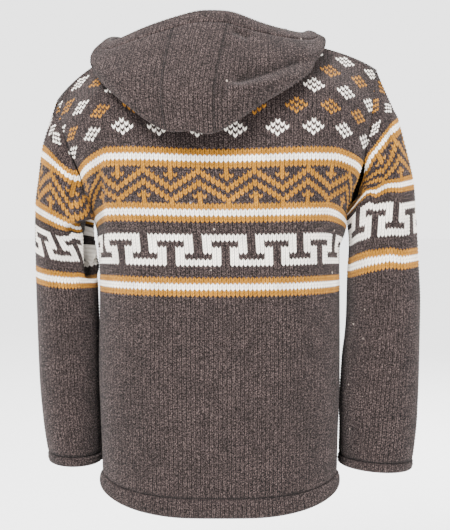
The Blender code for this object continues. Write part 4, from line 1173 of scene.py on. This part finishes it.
@dataclass
class Sleeve:
    """One sleeve with its turned edge."""

    form: SleeveForm
    chart: KnitChart
    cut: Cut
    cuff_cut: Cut
    creases: tuple[Crease, ...] = ()

    MIDDLE = 4.5                    # stitch that lies at the turn below
    TURNS = {1: 88.0, -1: 75.0}     # angle of that stitch on each side, in degrees
    LEANS = {1: ((-20, 10, 20, 28, 38, 50, 70, 110),
                 (-0.55, -0.55, -0.40, -0.20, 0.20, 0.34, 0.42, 0.5)),
             -1: ((-20, 3, 12, 20, 33, 45, 110),
                  (-0.30, -0.30, -0.25, -0.14, 0.0, 0.10, 0.30))}

    @property
    def label(self) -> str:
        """Name of the side."""
        return "left" if self.form.side > 0 else "right"

    def angle(self, column: Array, row: Array) -> Array:
        """Angle round the sleeve of a stitch, which leans with the tilted rows."""
        side, step = self.form.side, 2.0 * math.pi / SLEEVE_STITCHES
        plain = side * (column - self.MIDDLE) * step + math.radians(self.TURNS[side])
        lean = np.interp(row, *self.LEANS[side])
        return plain + lean * np.sin(plain)

    def surface(self, column: Array, row: Array) -> Pair:
        """Points and directions of the sleeve."""
        angle = self.angle(column, row)
        angle = np.arctan2(np.sin(angle), np.cos(angle))
        start = self.form.armhole_rows(angle)[1]
        row = np.maximum(row + self.slide(angle, row), start + 0.05)
        return self.form.point(angle, row), self.form.normal(angle, row)

    def slide(self, angle: Array, row: Array) -> Array:
        """Rows by which folds push the knitting along the arm."""
        table = SLIDE_LEFT if self.form.side > 0 else SLIDE_RIGHT
        turn = np.degrees(np.abs(angle))
        shifts = [np.interp(row, SLIDE_ROWS, values) for values in table]
        pushed = shifts[0]
        for i in range(len(shifts) - 1):
            part = ease((turn - SLIDE_ANGLES[i]) / (SLIDE_ANGLES[i + 1] - SLIDE_ANGLES[i]))
            pushed = pushed + (shifts[i + 1] - shifts[i]) * part
        return pushed

    def build(self, wardrobe: Wardrobe) -> None:
        """Knit the sleeve and its turned edge."""
        columns = np.arange(4 * SLEEVE_STITCHES) / 4.0
        low = np.array([self.start(c) for c in columns]) + 0.05
        end = np.full_like(low, self.form.end)
        plan = KnitPlan("knit_sleeve_" + self.label, columns, low, end, self.surface,
                        self.chart.yarn, wrap=True, creases=self.creases, stitch=SLEEVE_STITCH,
                        ends=(0.5, 0.85))
        hang(plan, wardrobe, "sleeve_" + self.label, self.cut)
        at = np.array([0.02, 0.2, 0.75, 1.0]) * CUFF_ROWS + self.form.end
        bulge = steps_of(at, (0.0, 0.0014, 0.0016, -0.0008))
        wall = steps_of(at, (0.0042, 0.0058, 0.0060, 0.0044))
        low = np.full_like(columns, at[0])
        plan = KnitPlan("knit_cuff_" + self.label, columns, low, np.full_like(low, at[-1]),
                        self.surface, self.chart.plain, wrap=True, bulge=bulge, wall=wall,
                        dips=(0.0022, 0.0006, 0.0, 0.0), stitch=SLEEVE_STITCH, ends=(0.85, 0.0))
        hang(plan, wardrobe, "cuff_" + self.label, self.cuff_cut)

    def start(self, column: float) -> float:
        """Row where a column of stitches meets the armhole."""
        rows = np.linspace(self.form.first, ARMPIT_ROW + 0.5, 120)
        angle = self.angle(np.full_like(rows, column), rows)
        angle = np.arctan2(np.sin(angle), np.cos(angle))
        over = rows - self.form.armhole_rows(angle)[1]
        below = np.nonzero(over >= 0.0)[0]
        return float(rows[below[0]])


@dataclass
class Hood:
    """Three panels and the turned edge round the mouth."""

    form: HoodForm
    chart: KnitChart
    cuts: tuple[Cut, Cut, Cut, Cut]
    creases: tuple[Crease, ...] = ()
    places: Array = field(init=False)
    runs: Array = field(init=False)
    line: Array = field(init=False)
    length: Array = field(init=False)
    RING = 0.72                 # part of each line where the stitches are counted
    LOOK = 0.012                # step for directions, as a share

    def __post_init__(self) -> None:
        """Work out the lines of the hood and how its stitches are spread round it."""
        self.places = np.linspace(-1.0, 1.0, 801)
        self.line, self.length = self.form.curves(self.places)
        part = self.RING * self.length[:, -1]
        ring = np.stack([self.on_line(i, part[i]) for i in range(len(self.places))])
        steps = np.linalg.norm(np.diff(ring, axis=0), axis=-1)
        run = np.concatenate([[0.0], np.cumsum(steps)]) / HOOD_STITCH
        self.runs = run - np.interp(0.0, self.places, run)

    def on_line(self, index: int, reach: float) -> Array:
        """Point at a length along one line of the hood."""
        return np.array([np.interp(reach, self.length[index], self.line[index, :, k])
                         for k in range(3)])

    def column(self, place: float) -> float:
        """Stitch at a place round the neckline."""
        return float(np.interp(place, self.places, self.runs))

    def sample(self, place: Array, reach: Array) -> Array:
        """Points at places and lengths from the neckline, both by row and column."""
        line, length = self.form.curves(place)
        out = np.empty(reach.shape + (3,))
        for j in range(len(place)):
            for k in range(3):
                out[:, j, k] = np.interp(reach[:, j], length[j], line[j, :, k])
        return out

    def surface(self, column: Array, row: Array) -> Pair:
        """Points and directions of the hood; rows are counted from the rim seam."""
        place = np.interp(column[0], self.runs, self.places)
        total = self.form.curves(place)[1][:, -1]
        reach = total[None, :] - RIM_HEIGHT - row * ROW
        share = reach / total
        point = self.sample(place, reach)
        ahead = np.clip(place + self.LOOK, -1.0, 1.0)
        behind = np.clip(place - self.LOOK, -1.0, 1.0)
        along = (self.sample(ahead, share * self.form.curves(ahead)[1][:, -1])
                 - self.sample(behind, share * self.form.curves(behind)[1][:, -1]))
        up = (self.sample(place, np.clip(share + self.LOOK, 0.0, 1.0) * total)
              - self.sample(place, np.clip(share - self.LOOK, 0.0, 1.0) * total))
        return point, unit(np.cross(up, along))

    def build(self, wardrobe: Wardrobe) -> None:
        """Knit the panels and the rim."""
        edges = (-1.0, -CENTRE_PLACE, CENTRE_PLACE, 1.0)
        names = ("hood_right", "hood_centre", "hood_left")
        for name, first, last, cut in zip(names, edges, edges[1:], self.cuts):
            columns = quarter_columns(self.column(first) + 0.004, self.column(last) - 0.004)
            place = np.interp(columns, self.runs, self.places)
            total = self.form.curves(place)[1][:, -1]
            high = (total - RIM_HEIGHT) / ROW - 0.015
            plan = KnitPlan("knit_" + name, columns, np.full_like(columns, NECK_GAP), high,
                            self.surface, self.chart.plain, creases=self.creases,
                            dips=(0.0012, 0.0, 0.0006, 0.0006), relief=0.0025, seam=0.8,
                            wall=even(FOLD_WALL))
            hang(plan, wardrobe, name, cut)
        columns = quarter_columns(self.column(-1.0) + 0.02, self.column(1.0) - 0.02)
        rows = RIM_HEIGHT / ROW
        at = np.array([0.0, 0.06, 0.45, 0.90, 1.0]) * rows - rows
        bulge = steps_of(at, (-0.0008, 0.0010, 0.0018, 0.0012, 0.0))
        wall = steps_of(at, (0.0040, 0.0056, 0.0062, 0.0058, 0.0042))
        plan = KnitPlan("knit_rim", columns, np.full_like(columns, -rows),
                        np.full_like(columns, -0.02), self.surface, self.chart.plain,
                        bulge=bulge, wall=wall, dips=(0.0004, 0.0008, 0.0, 0.0),
                        relief=0.0023, creases=self.creases)
        hang(plan, wardrobe, "hood_rim", self.cuts[3])


@dataclass
class ZipFastener:
    """Brass teeth between the two tapes, and the dress of the hard parts."""

    body: BodyForm
    pitch: float = 0.0026
    head: tuple[float, float, float] = (0.0024, 0.0022, 0.0013)
    depth: float = 0.0065           # face of the chain behind the front

    def build(self, wardrobe: Wardrobe) -> None:
        """Make the teeth and dress the tapes, the slider and the pull."""
        top = float(self.body.neck_row(-1, np.array(0.0))) + 1.0 + 4.4
        bottom = HEM_ROW + HEM_ROWS - 0.3
        rows = np.linspace(top, bottom, 900)
        share = np.zeros_like(rows)
        point = self.body.point(-1, share, rows)
        normal = self.body.normal(-1, share, rows)
        reach = np.concatenate([[0.0], np.cumsum(np.linalg.norm(np.diff(point, axis=0), axis=1))])
        count = int(reach[-1] / self.pitch)
        work = bmesh.new()
        for side in (1.0, -1.0):
            for i in range(count):
                at = (i + (0.5 if side > 0 else 1.0)) * self.pitch
                if at > reach[-1] - 0.001:
                    continue
                spot = np.array([np.interp(at, reach, point[:, k]) for k in range(3)])
                way = np.array([np.interp(at, reach, normal[:, k]) for k in range(3)])
                self.tooth(work, spot, way, side)
        mesh = bpy.data.meshes.new("zip_teeth")
        work.to_mesh(mesh)
        work.free()
        mesh.materials.append(wardrobe.brass)
        teeth = linked("zip_teeth", mesh)
        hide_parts("zip_chain")
        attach(teeth, "garment")
        log.info("zip_teeth: %d faces", len(mesh.polygons))
        for node, material in (("zip_tape_left", wardrobe.tape), ("zip_tape_right", wardrobe.tape),
                               ("zip_slider", wardrobe.brass), ("zip_pull", wardrobe.brass)):
            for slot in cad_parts[node].material_slots:
                slot.material = material

    def tooth(self, work: bmesh.types.BMesh, spot: Array, way: Array, side: float) -> None:
        """One tooth: a waist at the tape and a wider rounded head past the middle."""
        width, deep, tall = self.head
        out = Vector(way)
        down = Vector((0.0, -way[2], way[1])).normalized()
        base = Vector(spot) - out * (self.depth + 0.0001)
        outline = ((2.7, 0.34), (1.0, 0.34), (0.5, 0.5), (-0.4, 0.5), (-0.7, 0.25))
        ring = [(x, t) for x, t in outline] + [(x, -t) for x, t in reversed(outline)]
        layers = []
        for inset, depth in ((0.82, 0.0), (1.0, 0.25), (1.0, 0.8), (0.82, 1.0)):
            layer = []
            for x, t in ring:
                spot_x = side * x * 0.001
                layer.append(work.verts.new(base - out * (deep * depth)
                                            + Vector((spot_x, 0.0, 0.0))
                                            + down * (t * tall * inset)))
            layers.append(layer)
        count = len(ring)
        for a, b in zip(layers, layers[1:]):
            for i in range(count):
                j = (i + 1) % count
                face = (a[i], b[i], b[j], a[j]) if side > 0 else (a[j], b[j], b[i], a[i])
                work.faces.new(face)
        first, last = layers[0], layers[-1]
        work.faces.new(first if side > 0 else first[::-1])
        work.faces.new(last[::-1] if side > 0 else last)


@dataclass
class Studio:
    """Camera, pale paper and soft lights."""

    spread: float = 14.0            # half the width of the paper
    eye: tuple[float, float, float] = (-0.0065, 2.0, -0.198)
    pitch: float = 4.6
    lens: float = 84.2
    floor: float = -1.15

    def camera(self) -> None:
        """Camera of the photograph: behind the jacket, tipped a little down."""
        data = bpy.data.cameras.new("camera")
        data.lens, data.sensor_width, data.sensor_fit = self.lens, 36.0, "AUTO"
        thing = linked("camera", data)
        thing.location = self.eye
        thing.rotation_euler = (math.radians(90.0 - self.pitch), 0.0, math.pi)
        bpy.context.scene.camera = thing

    def paper(self) -> None:
        """Wide pale floor."""
        mesh = bpy.data.meshes.new("floor")
        work = bmesh.new()
        corners = [work.verts.new((x * self.spread, y * self.spread, self.floor))
                   for x, y in ((-1, -1), (1, -1), (1, 1), (-1, 1))]
        work.faces.new(corners)
        work.to_mesh(mesh)
        work.free()
        mesh.materials.append(StudioFinish().make())
        linked("floor", mesh)

    def lights(self) -> None:
        """Pale surroundings and four soft panels."""
        world = bpy.data.worlds.new("studio")
        world.use_nodes = True
        world.node_tree.nodes["Background"].inputs["Color"].default_value = grey(1)
        world.node_tree.nodes["Background"].inputs["Strength"].default_value = 3.0
        bpy.context.scene.world = world
        for name, place, size, power in (("key", (0.9, 2.2, 1.9), 0.9, 250.0),
                                         ("fill", (-2.0, 2.0, 0.6), 1.6, 50.0),
                                         ("front", (-1.2, -2.6, 1.4), 1.6, 160.0),
                                         ("top", (0.0, 0.2, 2.4), 1.6, 20.0)):
            data = bpy.data.lights.new(name, "AREA")
            data.shape, data.size, data.energy = "SQUARE", size, power
            thing = linked(name, data)
            thing.location = place
            way = Vector((0.0, 0.0, -0.3)) - Vector(place)
            thing.rotation_euler = way.to_track_quat("-Z", "Y").to_euler()

    def build(self) -> None:
        """Set up the whole studio."""
        self.camera()
        self.paper()
        self.lights()


# Creases: points (x, z) in metres, width, depth, reach and width on the right.
BODY_CREASES = (
    Crease(((0.18, -0.165), (0.174, -0.2211), (0.175, -0.3154), (0.189, -0.3407)),
           0.005, 0.0065, 0.035, 0.022),
    Crease(((0.1945, -0.18), (0.1915, -0.253), (0.1965, -0.3166)), 0.01, -0.0055, 0.03),
    Crease(((-0.225, -0.19), (-0.215, -0.222), (-0.2055, -0.262)), 0.008, -0.0032, 0.02),
    Crease(((-0.205, -0.27), (-0.2, -0.3), (-0.196, -0.335)), 0.014, 0.0075, 0.03),
    Crease(((-0.1, -0.52), (-0.13, -0.6), (-0.14, -0.7)), 0.03, -0.0025, 0.08),
    Crease(((0.11, -0.5), (0.145, -0.6), (0.15, -0.7)), 0.03, -0.0025, 0.08),
    Crease(((0.198, -0.165), (0.182, -0.225), (0.176, -0.3)), 0.011, -0.0042, 0.03, side=-1),
    Crease(((-0.2, -0.155), (-0.186, -0.215), (-0.182, -0.275)), 0.01, -0.0038, 0.03,
           side=-1),
    Crease(((0.155, -0.215), (0.12, -0.275), (0.07, -0.3)), 0.016, -0.0022, 0.04, side=-1),
    Crease(((-0.165, -0.225), (-0.125, -0.3)), 0.018, -0.002, 0.04, side=-1),
    Crease(((0.07, -0.56), (0.085, -0.64), (0.08, -0.72)), 0.022, -0.0028, 0.06, side=-1),
    Crease(((-0.1, -0.54), (-0.118, -0.66)), 0.024, -0.0024, 0.06, side=-1),
)
LEFT_CREASES = (
    Crease(((0.2218, -0.205), (0.2364, -0.2609), (0.2463, -0.2943)), 0.008, -0.005, 0.03),
    Crease(((0.25, -0.291), (0.2227, -0.28), (0.198, -0.2812)), 0.004, 0.011, 0.012, 0.024),
    Crease(((0.248, -0.301), (0.2227, -0.29), (0.198, -0.29)), 0.01, -0.007, 0.012, 0.004),
    Crease(((0.208, -0.283), (0.208, -0.33), (0.206, -0.385)), 0.007, -0.018, 0.014, 0.03),
    Crease(((0.262, -0.165), (0.258, -0.215)), 0.008, -0.002, 0.02),
    Crease(((0.2, -0.27), (0.1995, -0.33), (0.1965, -0.38)), 0.012, 0.0095, 0.02,
           side=-1),
)
RIGHT_CREASES = (
    Crease(((-0.236, -0.185), (-0.2221, -0.2181), (-0.2056, -0.2685)), 0.009, -0.0085, 0.025),
    Crease(((-0.2671, -0.1084), (-0.2675, -0.1506), (-0.2648, -0.1898)), 0.006, -0.006, 0.02),
    Crease(((-0.2632, -0.1898), (-0.2573, -0.2291), (-0.2561, -0.2606)), 0.008, -0.0035, 0.02),
    Crease(((-0.275, -0.1084), (-0.2765, -0.1506), (-0.274, -0.1898)), 0.008, 0.003, 0.02),
    Crease(((-0.198, -0.45), (-0.194, -0.54), (-0.194, -0.64)), 0.02, 0.0038, 0.06),
)
HOOD_CREASES = (
    Crease(((0, -0.085), (-0.0321, -0.084), (-0.0801, -0.071), (-0.1191, -0.056),
            (-0.152, -0.04)), 0.022, 0.011, 0.025, 0.008),
    Crease(((-0.004, -0.073), (-0.0321, -0.072), (-0.0801, -0.0595), (-0.1191, -0.045),
            (-0.14, -0.034)), 0.008, -0.008, 0.025, 0.018),
    Crease(((-0.004, -0.05), (-0.006, -0.085), (-0.001, -0.125)), 0.0045, -0.004, 0.03),
    Crease(((0.1659, -0.0471), (0.1476, -0.0426)), 0.012, -0.003, 0.01),
    Crease(((-0.015, 0.012), (-0.0232, 0.0062), (-0.048, -0.0059)), 0.006, -0.006, 0.01),
    Crease(((0.052, -0.015), (0.06, -0.06), (0.055, -0.105)), 0.01, -0.002, 0.03),
)


def main() -> None:
    """Build the jacket and its studio, piece by piece."""
    logging.basicConfig(level=logging.INFO, format="%(message)s")
    Studio().build()
    wardrobe = Wardrobe.stocked()
    body, chart = BodyForm(), KnitChart()
    BodyPanels(body, chart, creases=BODY_CREASES).build(wardrobe)
    HemBand(body, chart).build(wardrobe)
    for side, cuff, creases in ((1, Cut(0.345, 0.020), LEFT_CREASES),
                                (-1, Cut(0.385, 0.020), RIGHT_CREASES)):
        Sleeve(SleeveForm(side, body), SleeveChart(), Cut(0.36, 0.60), cuff, creases
               ).build(wardrobe)
    Hood(HoodForm(body), chart, (Cut(0.32, 0.28), Cut(0.12, 0.32), Cut(0.32, 0.28),
                                 Cut(0.97, 0.028)), HOOD_CREASES).build(wardrobe)
    ZipFastener(body).build(wardrobe)


if __name__ == "__main__":
    main()
